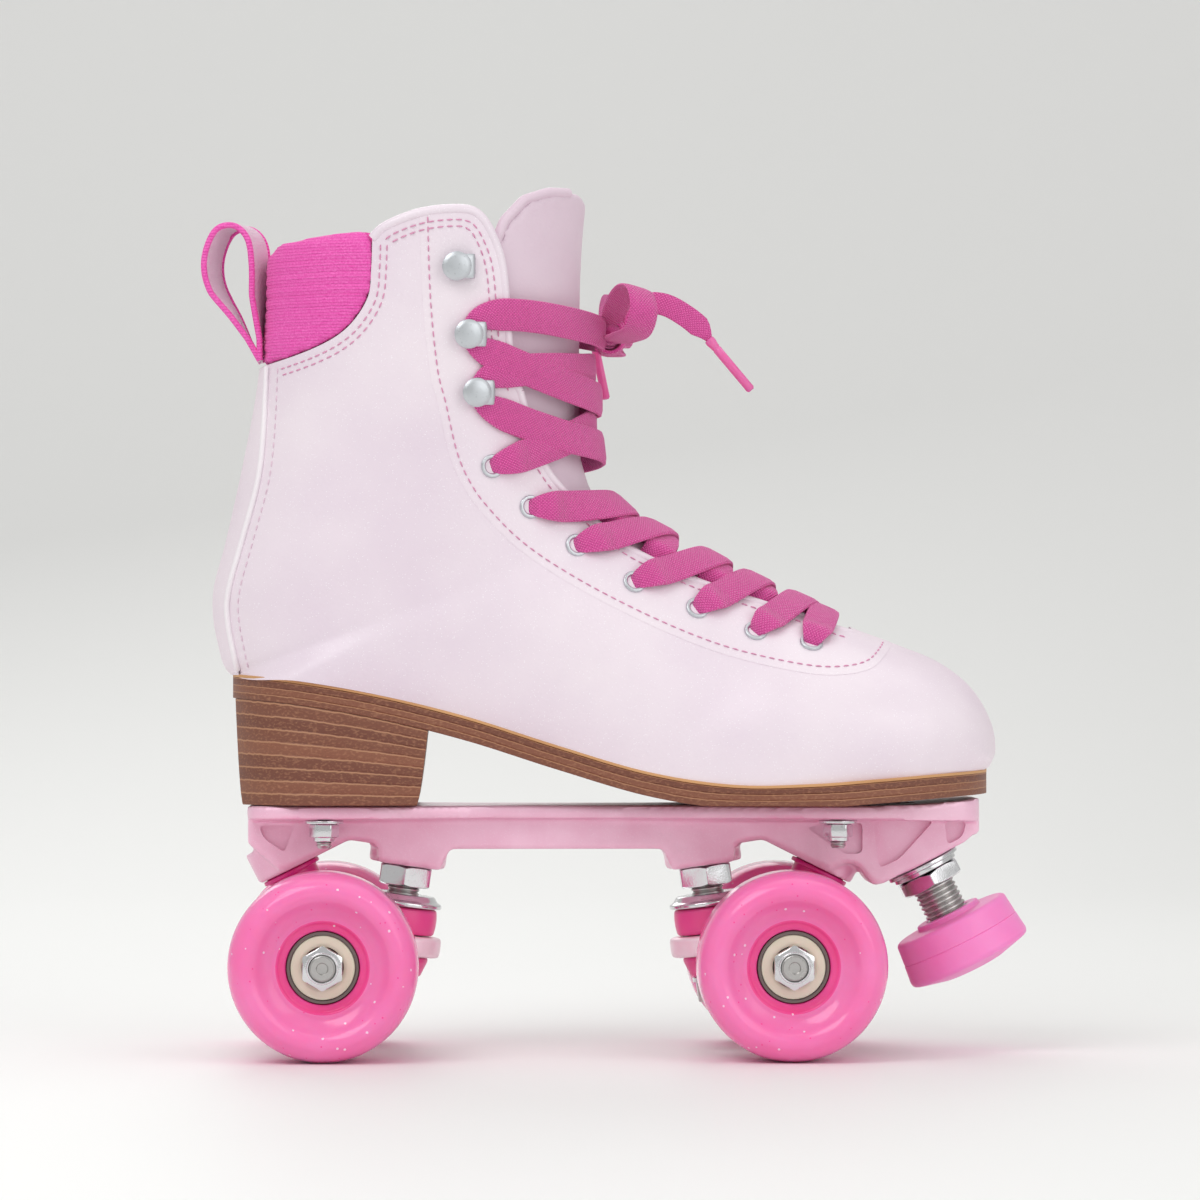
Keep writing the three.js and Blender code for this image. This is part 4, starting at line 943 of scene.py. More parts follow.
class Wardrobe:
    """All the skate's finishes, made once."""

    def __init__(self) -> None:
        """Mixes every material."""
        effects = Effects()
        finishes = [
            Leather("upper_leather", (240, 228, 236), (231, 216, 228), pearl=0.06),
            Leather("facing_leather", (242, 231, 238), (233, 219, 230), pearl=0.06),
            Leather("tongue_leather", (232, 214, 225), (222, 200, 214), 0.45, 1100.0, 0.06),
            Leather("sole_paint", (155, 143, 133), (138, 126, 118), 0.6, 700.0, 0.08),
            Leather("piping_leather", (246, 240, 244), (238, 230, 236), 0.4, 1500.0, 0.02),
            Velour("collar_velour", (255, 120, 204), (242, 82, 180), 0.00095),
            Velour("lining_velour", (246, 104, 188), (226, 76, 164)),
            Velour("insole_velour", (240, 205, 222), (225, 182, 205)),
            Cloth("lace_weave", (252, 112, 192), (228, 70, 158), 1.0, depth=0.4),
            Cloth("tab_weave", (252, 228, 241), (246, 206, 229), 0.9),
            Cloth("thread_cotton", (236, 172, 202), (218, 140, 180), 0.4, mapped=False, depth=0.05),
            Cloth("thread_pale", (244, 222, 234), (226, 196, 214), 0.4, mapped=False, depth=0.05),
            Casting("cast_plate", (251, 204, 226), (243, 188, 213), 0.36, 0.25),
            Casting("cast_hanger", (254, 230, 240), (250, 220, 231), 0.34, 0.25),
            Plated("bright_plate", (222, 222, 224), 0.1),
            Plated("zinc_plate", (196, 194, 192), 0.26, 0.04),
            Plated("nickel_plate", (204, 208, 212), 0.36),
            Plated("ground_steel", (125, 112, 110), 0.3, 0.03),
            Urethane("wheel_urethane", (255, 134, 194), (254, 116, 180), 0.07, 0.5, 0.012),
            # deeper pink near the hub: the core's own colour, darkened further as painted shade of the hub's recess
            Urethane("core_urethane_and_shade", (252, 84, 158), (244, 62, 140), 0.12, 0.4, 0.012),
            Urethane("cushion_urethane", (246, 88, 158), (234, 70, 144), 0.28, 0.3),
            Urethane("pivot_urethane", (226, 44, 142), (204, 30, 122), 0.25, 0.3),
            Urethane("stop_rubber", (255, 146, 210), (252, 128, 198), 0.4, 0.4),
            Urethane("shield_seal", (240, 228, 210), (228, 212, 190), 0.32, 0.15),
            Urethane("aglet_film", (236, 120, 180), (214, 84, 152), 0.12, 0.3),
            Stacked("sole_edge", (136, 84, 62), (112, 64, 48), (186, 136, 102)),
            Leather("sole_top", (214, 164, 112), (196, 144, 96), 0.55, 800.0, 0.05),
        ]
        self.materials = {finish.name: finish.make(effects) for finish in finishes}

    def __getitem__(self, name: str) -> bpy.types.Material:
        """The material of that name."""
        return self.materials[name]


def dress(piece: bpy.types.Object, material: bpy.types.Material, body: str, slot: str,
          *replaced: str) -> bpy.types.Object:
    """Finishes a piece: its material, the body it rides on and what it stands for.

    Args:
        piece: the finished mesh.
        material: its material, put in its first slot.
        body: the CAD body it moves with.
        slot: the record's material slot; not used.
        replaced: the CAD nodes it stands for.

    Returns:
        The same piece.
    """
    if piece.data.materials:
        piece.data.materials[0] = material
    else:
        piece.data.materials.append(material)
    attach(piece, body)
    if replaced:
        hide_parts(*replaced)
    LOG.info("piece %s on %s: %d faces", piece.name, body, len(piece.data.polygons))
    return piece


# ---------------------------------------------------------------- boot skin


class Skin:
    """The boot's outer skin, as straight ribs from its front line to its back or its sole."""

    RIBS = np.array([
        (-6.5, 275, -109.5, 275, 37, 2.3), (-8.8, 250, -110, 250, 36.5, 2.3), (-9.5, 227, -110.5, 226, 35.5, 2.3),
        (-9.5, 207, -112.6, 206, 34.5, 2.2), (-9, 192, -117.5, 180, 34, 2.1), (-7.4, 181.5, -122.1, 159.5, 34.5, 2),
        (-4.2, 173.2, -126.2, 142.3, 35, 1.9), (0.9, 167.8, -124.8, 128.5, 35, 1.8),
        (5.7, 164.3, -120.4, 117.8, 35, 1.8), (12.5, 160.9, -100, 115.8, 34.5, 1.8),
        (20.3, 156.7, -75, 111.5, 34, 1.8), (29.7, 151.9, -48, 104.8, 33.5, 1.8), (39, 147, -20, 95.9, 34, 1.8),
        (50.8, 141.6, 8, 87.8, 37.5, 1.8), (62.5, 136.6, 34, 84, 42.5, 1.9), (75.5, 131.2, 58, 84.3, 44.8, 2),
        (88, 126.7, 78, 85.7, 43, 2.1), (100.5, 121.4, 91, 86.7, 39.5, 2.2), (110.5, 113.5, 99, 87.2, 35, 2.2),
        (116.6, 103, 104, 87.5, 30, 2.2), (118, 94.5, 109, 87.7, 23.5, 2.2), (116.4, 89.6, 113, 87.9, 14, 2.2),
    ])
    HEEL_RIB = 8
    LAST_ROOM_RIB = 18.4
    SHARE_BACK, SHARE_SOLE = 2.4, 5.0
    WIDEST_CLOSED, WIDEST_OPEN = 0.84, 0.96
    TURN_BEFORE, TURN_AFTER = 2.5, 3.0
    SOFTNESS = 24.0
    SEAT_BACK, SEAT_FRONT = -120.5, 115.3
    HEEL_ROUND, TOE_ROUND = 2.2, 2.6
    TOE_BEND = 5.0
    WAIST = [(-89, 31), (-70, 30.3), (-45, 28.7), (-20, 29), (5, 34), (30, 41), (58, 45)]

    def __init__(self) -> None:
        """Samples the front and back lines finely, for lookups."""
        self.stretches = len(self.RIBS) - 1
        self.front_points = self.RIBS[:, [0, 4, 1]]
        self.back_points = self.RIBS[:, [2, 5, 3]]
        self.waist = spline(self.WAIST, 40)
        self.fine = np.linspace(0, 1, 2101)
        self.front = chordal(self.front_points, self.fine)
        self.back = chordal(self.back_points, self.fine)

    def sole_half(self, x: np.ndarray) -> np.ndarray:
        """Half the sole's width at each x."""
        x = np.asarray(x, float)
        heel_x, heel = self.waist[0]
        ball_x, ball = self.waist[-1]
        at_heel = np.clip((heel_x - x) / (heel_x - self.SEAT_BACK), 0, 1)
        at_toe = np.clip((x - ball_x) / (self.SEAT_FRONT - ball_x), 0, 1)
        middle = np.interp(x, self.waist[:, 0], self.waist[:, 1])
        round_heel = heel * np.sqrt(1 - at_heel ** self.HEEL_ROUND)
        round_toe = ball * np.sqrt(1 - at_toe ** self.TOE_ROUND)
        return np.where(x < heel_x, round_heel, np.where(x > ball_x, round_toe, middle))

    def middle(self, x: np.ndarray) -> np.ndarray:
        """The foot's middle line, which bends inward to the toe."""
        return self.TOE_BEND * np.clip((np.asarray(x, float) - 10) / 105, 0, 1) ** 2

    def point(self, u: np.ndarray, t: np.ndarray, side: np.ndarray, inset: float = 0.0) -> np.ndarray:
        """Points of the skin, or of a skin inset inside it.

        Args:
            u: shares over the ribs, from the top of the shaft to the toe.
            t: shares along a rib, from the front line to the back or sole.
            side: -1 for the right side, 1 for the left.
            inset: how far inside the skin, in millimetres.

        Returns:
            One row for each point.
        """
        u, t, side = np.broadcast_arrays(*(np.atleast_1d(np.asarray(v, float)) for v in (u, t, side)))
        front, back = chordal(self.front_points, u), chordal(self.back_points, u)
        half, curve = front[:, 1] - inset, back[:, 1]
        rib = u * self.stretches
        seat = np.where(rib <= self.HEEL_RIB, 0, np.maximum(self.sole_half(back[:, 0]) - 1 - inset, 0))
        opened = np.clip((rib - self.HEEL_RIB + self.TURN_BEFORE) / (self.TURN_BEFORE + self.TURN_AFTER), 0, 1)
        opened = opened * opened * (3 - 2 * opened)
        reach = back[:, [0, 2]] - front[:, [0, 2]]
        step = reach / np.linalg.norm(reach, axis=1)[:, None] * inset
        tuck = self.SHARE_BACK + (self.SHARE_SOLE - self.SHARE_BACK) * opened
        opening = 1 - np.minimum(seat / half, 0.97) ** 2
        share = np.sqrt(1 - (1 - t) ** curve) * np.sqrt(np.maximum(1 - opening * t ** tuck, 0))
        widest = self.WIDEST_CLOSED + (self.WIDEST_OPEN - self.WIDEST_CLOSED) * opened
        full = 1 - np.log1p(np.exp(self.SOFTNESS * (1 - share / widest))) / self.SOFTNESS
        place_xz = front[:, [0, 2]] + step + t[:, None] * (reach - 2 * step)
        y = np.where(t >= 1, seat, np.maximum(full, 0) * half)
        return np.stack([place_xz[:, 0], side * y + self.middle(place_xz[:, 0]), place_xz[:, 1]], axis=1)

    def find(self, line: np.ndarray) -> np.ndarray:
        """The (u, t) of places given in the side view.

        Args:
            line: (x, z) pairs.

        Returns:
            One (u, t) row for each.
        """
        result = []
        start, end = self.front[:, [0, 2]], self.back[:, [0, 2]]
        reach = end - start
        size = np.einsum("ij,ij->i", reach, reach)
        for place_xz in np.asarray(line, float):
            away = place_xz - start
            level = reach[:, 0] * away[:, 1] - reach[:, 1] * away[:, 0]
            share = np.einsum("ij,ij->i", away, reach) / size
            crossing = np.nonzero((level[:-1] <= 0) != (level[1:] <= 0))[0]
            if len(crossing) == 0:
                crossing = np.array([int(np.argmin(np.abs(level[:-1])))])
            best = crossing[np.argmin(np.abs(share[crossing] - 0.5))]
            ratio = level[best] / (level[best] - level[best + 1] + 1e-12)
            ratio = min(max(ratio, 0.0), 1.0)
            u = self.fine[best] + ratio * (self.fine[1] - self.fine[0])
            result.append((u, np.clip(share[best] + ratio * (share[best + 1] - share[best]), 0, 1)))
        return np.array(result)

    def turn_of(self, t: np.ndarray) -> np.ndarray:
        """The smooth turn, from 0 at the front line, that stands for t."""
        return np.arccos(np.clip(1 - 2 * np.asarray(t, float), -1, 1))

    def round(self, u: np.ndarray, turn: np.ndarray, lift: np.ndarray) -> tuple:
        """Points and normals from (u, turn), where turn is negative on the right side.

        Args:
            u: shares over the ribs.
            turn: smooth turns, signed by side.
            lift: how far outside the skin each point is.

        Returns:
            The points and their outward normals.
        """
        def at(u_at: np.ndarray, turn_at: np.ndarray) -> np.ndarray:
            """Points of the bare skin."""
            return self.point(u_at, (1 - np.cos(np.abs(turn_at))) / 2, np.where(turn_at < 0, -1.0, 1.0))
        step = 1e-3
        points = at(u, turn)
        along = at(np.clip(u + step, 0, 1), turn) - at(np.clip(u - step, 0, 1), turn)
        across = at(u, turn + 0.02) - at(u, turn - 0.02)
        normal = np.cross(along, across)
        normal /= np.linalg.norm(normal, axis=1)[:, None]
        return points + normal * np.atleast_1d(lift)[:, None], normal

    def on(self, line: np.ndarray, side: int, lift: float = 0.0) -> tuple:
        """Points and normals of the skin under a line of the side view.

        Args:
            line: (x, z) pairs.
            side: -1 for the right side, 1 for the left.
            lift: how far outside the skin.

        Returns:
            The points and their outward normals.
        """
        found = self.find(line)
        turn = self.turn_of(found[:, 1]) * side
        return self.round(found[:, 0], turn, np.full(len(found), lift))

    def form(self, name: str, inset: float, last: float | None = None, rows: int = 150,
             columns: int = 30) -> bpy.types.Object:
        """The boot's form as one closed solid.

        Args:
            name: the object's name.
            inset: how far inside the skin.
            last: the rib it ends at, or None for the toe.
            rows: stretches over the ribs.
            columns: stretches along a rib, on each side.

        Returns:
            The solid.
        """
        end = (last or self.stretches) / self.stretches
        t = (1 - np.cos(np.pi * np.arange(columns + 1) / columns)) / 2
        points = []
        for i in range(rows + 1):
            u = np.full(columns + 1, end * i / rows)
            right = self.point(u, t, -1.0, inset)
            left = self.point(u, t, 1.0, inset)
            points += [*right, *left[::-1]]
        around = 2 * (columns + 1)
        piece = mesh_piece(name, points, quads(rows, around) + lids(rows, around))
        outward(piece, 0.01)
        return piece


def sheath(skin: Skin, name: str, outer: float, inner: float, outline: list, last: float | None = None,
           rows: int = 150, columns: int = 30) -> bpy.types.Object:
    """The layer between two skins, inside an outline of the side view.

    Args:
        skin: the boot's skin.
        name: the piece's name.
        outer: inset of its outer face.
        inner: inset of its inner face.
        outline: (x, z) pairs.
        last: the rib it ends at, or None.
        rows: stretches over the ribs.
        columns: stretches along a rib.

    Returns:
        The closed layer.
    """
    piece = skin.form(name, outer, last, rows, columns)
    cut(piece, skin.form("inner", inner, last, rows, columns), Cut.LESS)
    cut(piece, prism("outline", outline, -SIDE_REACH, SIDE_REACH), Cut.INSIDE)
    return piece


def pairs(line: np.ndarray) -> list:
    """A line's rows as plain tuples."""
    return [tuple(float(value) for value in row) for row in line]


class Lines:
    """The boot's outlines in the side view, in millimetres."""

    COLLAR = spline([(-135, 213.4), (-122, 213.4), (-111, 213.6), (-95.8, 217.8), (-84.9, 223.8), (-78.2, 233),
                     (-77, 242), (-76.7, 250)], 48)
    TOP = spline([(-76.7, 251.4), (-72.5, 255.1), (-61.8, 259.1), (-49.6, 260.3), (-43.5, 258.2), (-38.9, 250.5),
                  (-36.4, 241.3), (-35.2, 226), (-33.7, 210.7), (-31.2, 204.9)], 72)
    THROAT = spline([(-26.5, 187), (-20.3, 177.5), (-12.6, 169.8), (-0.2, 159), (12.1, 152.2), (24.5, 146.7),
                     (43, 140.5), (55.3, 136.8), (67.6, 132.4), (72, 131.2)], 72)
    SOLE = spline([(-121.5, 117.9), (-100, 115.8), (-75, 111.5), (-48, 104.8), (-20, 95.9), (8, 87.8), (34, 84),
                   (58, 84.3), (78, 85.7), (99, 87.2), (119, 88.2)], 88)
    FACING = spline([(-59.7, 258.4), (-58.8, 232.3), (-56.6, 210.9), (-54.3, 201.7), (-50.5, 185.2), (-45.9, 175.4),
                     (-41.6, 169.6), (-33.8, 161.3), (-25, 154.4), (-13.2, 147), (0.5, 139.7), (15.2, 132.8),
                     (30, 127), (44.6, 123), (59.3, 120.3), (69, 120.3), (76, 122), (80.5, 126), (82.5, 128.5)], 90)
    BACKSTAY = spline([(-109.3, 213.2), (-110.2, 192.4), (-112.0, 177.1), (-116.9, 158.7), (-121.0, 143.4),
                       (-121.2, 134.2), (-118.3, 119.5)], 50)

    @classmethod
    def open_side(cls, spare: float = 0.0) -> list:
        """The outline of all that is cut away above the collar, the top edge and the throat."""
        edge = np.vstack([cls.COLLAR, cls.TOP, cls.THROAT]) - (0, spare)
        return pairs(edge) + [(78, 160), (40, 210), (30, 320), (-150, 320)]


def level(line: np.ndarray, x: np.ndarray) -> np.ndarray:
    """The height of a line of the side view at each x."""
    return np.interp(x, line[:, 0], line[:, 1])


def beside(line: np.ndarray, distance: float) -> np.ndarray:
    """The line of the side view moved sideways by distance, to its left as it runs."""
    along = np.gradient(line, axis=0)
    along /= np.linalg.norm(along, axis=1)[:, None]
    return line + np.stack([-along[:, 1], along[:, 0]], axis=1) * distance


# ---------------------------------------------------------------- studio


@dataclass
class Studio:
    """The camera, the lights, the floor and the room's light."""

    lens: float = 158.4
    eye: Triple = (-50, -1650, 122)
    aim: Triple = (-6, 0, 141)

    def build(self) -> None:
        """Sets all of it up."""
        self._camera()
        self._floor()
        self._light("key", (-700, -900, 1300), 900, 8.0)
        self._light("fill", (900, -1000, 700), 1100, 4.5)
        self._light("top", (100, 200, 1500), 1300, 3.6)
        self._light("rim", (-300, 1200, 900), 900, 4.0)
        world = bpy.data.worlds.new("room")
        world.use_nodes = True
        world.node_tree.nodes["Background"].inputs["Color"].default_value = (0.93, 0.93, 0.92, 1)
        world.node_tree.nodes["Background"].inputs["Strength"].default_value = 0.62
        bpy.context.scene.world = world
        bpy.context.scene.view_settings.view_transform = "Standard"

    def _camera(self) -> None:
        """Places the camera."""
        data = bpy.data.cameras.new("camera")
        data.lens = self.lens
        data.sensor_width = 36.0
        data.clip_start, data.clip_end = 0.05, 50.0
        camera = bpy.data.objects.new("camera", data)
        camera.location = Vector(self.eye) * MM
        camera.rotation_euler = (Vector(self.aim) - Vector(self.eye)).to_track_quat("-Z", "Y").to_euler()
        bpy.context.scene.collection.objects.link(camera)
        bpy.context.scene.camera = camera

    def _floor(self) -> None:
        """A pale floor that turns up into a backdrop."""
        bend = fillet([(-3500, 0), (1900, 0), (1900, 3400)], 900, closed=False, steps=32)
        points = [(x, y, z - 0.05) for y, z in bend for x in (-4000, 4000)]
        faces = [(2 * i, 2 * i + 1, 2 * i + 3, 2 * i + 2) for i in range(len(bend) - 1)]
        floor = mesh_piece("floor", points, faces)
        smooth(floor, 80)
        paint = bpy.data.materials.new("floor_paint")
        paint.use_nodes = True
        shader = paint.node_tree.nodes["Principled BSDF"]
        shader.inputs["Base Color"].default_value = (0.88, 0.88, 0.87, 1)
        shader.inputs["Roughness"].default_value = 0.55
        floor.data.materials.append(paint)

    @staticmethod
    def _light(name: str, where: Triple, size: float, power: float) -> None:
        """Adds one soft square light that looks at the skate."""
        data = bpy.data.lights.new(name, "AREA")
        data.size = size * MM
        data.energy = power
        light = bpy.data.objects.new(name, data)
        light.location = Vector(where) * MM
        light.rotation_euler = (Vector((0, 0, 130)) - Vector(where)).to_track_quat("-Z", "Y").to_euler()
        bpy.context.scene.collection.objects.link(light)


# ---------------------------------------------------------------- laces


@dataclass
class Laces:
    """The lace: its laced part, its bow, its two free ends and their tips."""

    skin: Skin
    wardrobe: Wardrobe
    width: float = 10.0
    height: float = 1.5
    plump: float = 2.1
    loop_width: float = 9.0
    tail_width: float = 7.2
    held_width: float = 1.9
    tip_radius: float = 1.4

    HOLES = np.array([(-47.6, 222.2), (-45.2, 204.4), (-39.9, 181.8), (-28.1, 169.4), (-13.8, 157.6), (4.1, 146.3),
                      (23.5, 138.2), (41.5, 131.1), (58.6, 127.5)])
    TOP_HOOK = (-51.1, 242.8)
    KNOT = (-3, -0.5, 224)
    LOOP = [(-3.2, 2, 226.4), (-2.4, 11, 231.4), (-1.4, 21, 235), (-0.6, 29.5, 234), (-0.4, 32.5, 229),
            (-0.8, 29, 224), (-1.8, 18, 222.4), (-3, 3, 222.4)]
    LONG = [(4.2, -0.8, 224.3), (6.1, -1.2, 230), (9.2, -2.4, 233.4), (14, -3.8, 233.2), (20.3, -5, 229.8),
            (25.6, -5.6, 225.4), (28.6, -6, 221.2)]
    LONG_TIP = (41, -7, 206.3)
    SHORT = [(-3, 3.4, 218.8), (-2, 12, 218.6), (-0.8, 21, 218.9), (-0.8, 29, 219.6), (-1.6, 38, 222),
             (-3.4, 43.5, 226.6), (-5.2, 47.6, 229), (-6.5, 50.2, 227.6), (-6.6, 50.6, 225)]
    SHORT_TIP = (-2.8, 48.5, 206.2)
    BELOW, ABOVE, FOOT = (5.0, -5.0), (4.5, 5.0), (-1.0, 0.0)
    UNROLLED = (300.0, 35.0)

    def build(self) -> None:
        """Makes the free ends and the bow first, then the laced part."""
        self._tail("long", self.LONG, self.LONG_TIP, (0, -1, 0.15), True)
        self._tail("short", self.SHORT, self.SHORT_TIP, (1, 0, 0), False)
        for side in Side:
            self._loop(side)
        self._knot()
        self._laced()

    def _cord_piece(self, name: str, path: np.ndarray, widths: np.ndarray, across: Vector, *nodes: str) -> tuple:
        """Makes one flat stretch of free lace that keeps its width along across.

        Args:
            name: the piece's name.
            path: its middle line.
            widths: its width at each point.
            across: which way its width lies, the same all along or one row for each point.
            nodes: the CAD nodes it stands for.

        Returns:
            The piece and its path in metres.
        """
        along = np.gradient(path, axis=0)
        normals = np.cross(along, np.array(across))
        normals /= np.linalg.norm(normals, axis=1)[:, None]
        piece = ribbon(name, path, normals, widths, self.height)
        dress(piece, self.wardrobe["lace_weave"], "chassis", "lace_cotton", *nodes)
        return piece, [tuple(point * MM) for point in path]

    def _tail(self, which: str, line: list, tip: Triple, way: Triple, faces: bool) -> None:
        """One free end, which runs on inside its tip.

        Args:
            which: the name of the end.
            line: the points it goes through.
            tip: where its stiff tip ends.
            way: which way its face looks, or its width lies.
            faces: whether way is its face's.
        """
        points = np.array(line, float)
        free = even(chordal(points, np.linspace(0, 1, 120)), LACE_STEP)
        held = even(np.array([points[-1], tip], float), LACE_STEP)[1:]
        run = np.arange(len(free)) * LACE_STEP
        narrow = np.interp(run, (run[-1] - 6, run[-1] - 1), (self.tail_width, self.held_width))
        path = np.vstack([free, held])
        widths = np.concatenate([narrow, np.full(len(held), self.held_width)])
        across = np.cross(np.gradient(path, axis=0), way) if faces else way
        piece, metres = self._cord_piece(f"lace_end_{which}", path, widths, across, f"lace_tail_{which}")
        end, last = Vector(tip), Vector(points[-1])
        along = (end - last).normalized()
        long = (end - last).length
        radius = self.tip_radius
        profile = [(0, -1.2), (radius * 1.15, -1.2), (radius * 1.2, 0), (radius, 1.4), (radius, 2),
                   (radius * 0.9, 2.2), (radius * 0.9, 2.6), (radius, 2.8), (radius, long - 0.6),
                   (radius * 0.7, long), (0, long)]
        film = lathe(f"lace_tip_{which}", profile, last, along, 24)
        dress(film, self.wardrobe["aglet_film"], "chassis", "aglet_plastic", f"aglet_{which}")

    def _loop(self, side: Side) -> None:
        """One loop of the bow."""
        name, sign = side.value
        line = np.array(self.LOOP, float) * (1, sign, 1)
        swing = 7.0 if side is Side.RIGHT else 2.0
        line[:, 0] += swing * (np.abs(line[:, 1]) / self.LOOP[4][1]) ** 1.4
        line[:, 2] = self.KNOT[2] + (line[:, 2] - self.KNOT[2]) * 1.15
        nodes = ("lace_bow",) if side is Side.RIGHT else ()
        path = even(chordal(line, np.linspace(0, 1, 120)), LACE_STEP)
        run = np.linspace(-1, 1, len(path))
        widths = self.loop_width * (1 - 0.35 * run ** 4)
        piece, metres = self._cord_piece(f"lace_loop_{name}", path, widths, (0.92, -0.3 * sign, -0.25), *nodes)

    def _knot(self) -> None:
        """The knot: a folded core with two wraps of lace round it."""
        centre = np.array(self.KNOT, float)
        wraps = []
        for tilt, size in ((0.25, 1.0), (-0.5, 0.9)):
            angle = np.linspace(-0.2, math.tau - 0.2, 40)
            grow = 1 + 0.12 * angle / math.tau
            path = np.stack([4.4 * size * grow * np.cos(angle), 2.2 * tilt * np.sin(angle),
                             5.4 * size * grow * np.sin(angle)], axis=1)
            normals = path / np.linalg.norm(path, axis=1)[:, None]
            wraps.append(ribbon("wrap", path + centre, normals, np.full(len(path), 5.6), self.height))
        core = fillet([(0, -4.6), (3.6, -3.4), (4.2, 0), (3.6, 3.4), (0, 4.6)], 2.0, closed=False)
        wraps.append(lathe("core", core, centre, (0, 1, 0), 24))
        wraps[-1].data.uv_layers.new(name="weave")
        dress(merged("lace_knot", wraps), self.wardrobe["lace_weave"], "chassis", "lace_cotton", "lace_bow")

    def _strip(self, points: list, over: float, ends: tuple) -> bpy.types.Object:
        """One strip of the laced part, wound over the skin.

        Args:
            points: the (u, signed turn) places that it goes through.
            over: how much it rises where it passes over its neighbour.
            ends: what holds its start and its end.

        Returns:
            The strip.
        """
        known = np.array(points, float) * self.UNROLLED
        line = chordal(known, np.linspace(0, 1, 160)) if len(known) > 2 else known
        line = even(line, STRIP_STEP)
        run = np.arange(len(line)) * STRIP_STEP
        u, turn = (line / self.UNROLLED).T
        middle = np.exp(-((turn + 0.15) / 0.45) ** 2)
        lift = 1.2 + over * middle
        width = np.full(len(run), self.width)
        plump = np.full(len(run), self.plump)
        for kind, near in zip(ends, (run, run[-1] - run)):
            if kind is Hold.EYELET:
                close = np.clip(1 - near / 8.5, 0, 1)
                lift = lift + 1.1 * np.exp(-((near - 4.5) / 2.4) ** 2) - 2.2 * np.clip(1 - near / 1.8, 0, 1) ** 1.4
                width = width * (1 - 0.52 * close ** 2.4)
                plump = plump * (1 + 0.4 * np.exp(-((near - 4.5) / 3.2) ** 2))
            elif kind is Hold.HOOK:
                close = np.clip(1 - near / 10.0, 0, 1)
                width = width * (1 - 0.66 * close ** 1.6)
            elif kind is Hold.FACING:
                deep = np.clip((np.abs(turn) - self._edge_turn(u) + 0.2) / 0.18, 0, 1) * (near < run[-1] / 2)
                lift = lift - 4.6 * deep * deep * (3 - 2 * deep)
        path, normals = self.skin.round(u, turn, lift)
        return ribbon("strip", path, normals, width, plump)

    def _edge_turn(self, u: np.ndarray) -> np.ndarray:
        """The turn of the throat's edge at each u."""
        edge = self.skin.find(Lines.THROAT)
        return np.interp(u, edge[:, 0], self.skin.turn_of(edge[:, 1]))

    def _laced(self) -> None:
        """The crossing strips, from the toe up to the knot."""
        found = self.skin.find(self.HOLES)
        holes = [(u, turn) for u, turn in zip(found[:, 0], self.skin.turn_of(found[:, 1]))]

        def held(hook: int, off: tuple, side: int) -> tuple:
            """A place beside a hook, as (u, signed turn)."""
            u, t = self.skin.find([np.add(self.HOLES[hook], off)])[0]
            return u, side * float(self.skin.turn_of(t))

        def hole(i: int, side: int) -> tuple:
            """An eyelet's place, as (u, signed turn)."""
            return holes[i][0], side * holes[i][1]

        def ridge(height: float) -> tuple:
            """A place on the front line, at a height, as (u, turn)."""
            return self.skin.find([(-9.5, height)])[0][0], 0.0
        last = len(holes) - 1
        strips = [self._strip([hole(last, -1), hole(last, 1)], 1.2, (Hold.EYELET, Hold.EYELET))]
        for side in (-1, 1):
            rise = 0.2 if side > 0 else 1.9
            for i in range(3, last):
                strips.append(self._strip([hole(i, side), hole(i + 1, -side)], rise, (Hold.EYELET, Hold.FACING)))
            strips.append(self._strip([held(0, self.FOOT, side), held(0, self.ABOVE, side), ridge(223.5)], 1.6 + rise,
                                      (Hold.HOOK, Hold.NONE)))
        right, left = -1, 1
        strips += [
            self._strip([held(0, self.FOOT, right), held(0, self.BELOW, right), ridge(203), held(1, self.ABOVE, left),
                         held(1, self.FOOT, left)], 2.2, (Hold.HOOK, Hold.HOOK)),
            self._strip([held(1, self.FOOT, right), held(1, self.ABOVE, right), ridge(213), held(0, self.BELOW, left),
                         held(0, self.FOOT, left)], 0.1, (Hold.HOOK, Hold.HOOK)),
            self._strip([held(1, self.FOOT, right), held(1, self.BELOW, right), ridge(187.5), hole(2, left)], 2.2,
                        (Hold.HOOK, Hold.EYELET)),
            self._strip([hole(2, right), ridge(197), held(1, self.BELOW, left), held(1, self.FOOT, left)], 0.1,
                        (Hold.EYELET, Hold.HOOK)),
        ]
        dress(merged("lace_laced", strips), self.wardrobe["lace_weave"], "chassis", "lace_cotton", "lace_run")


# ---------------------------------------------------------------- boot


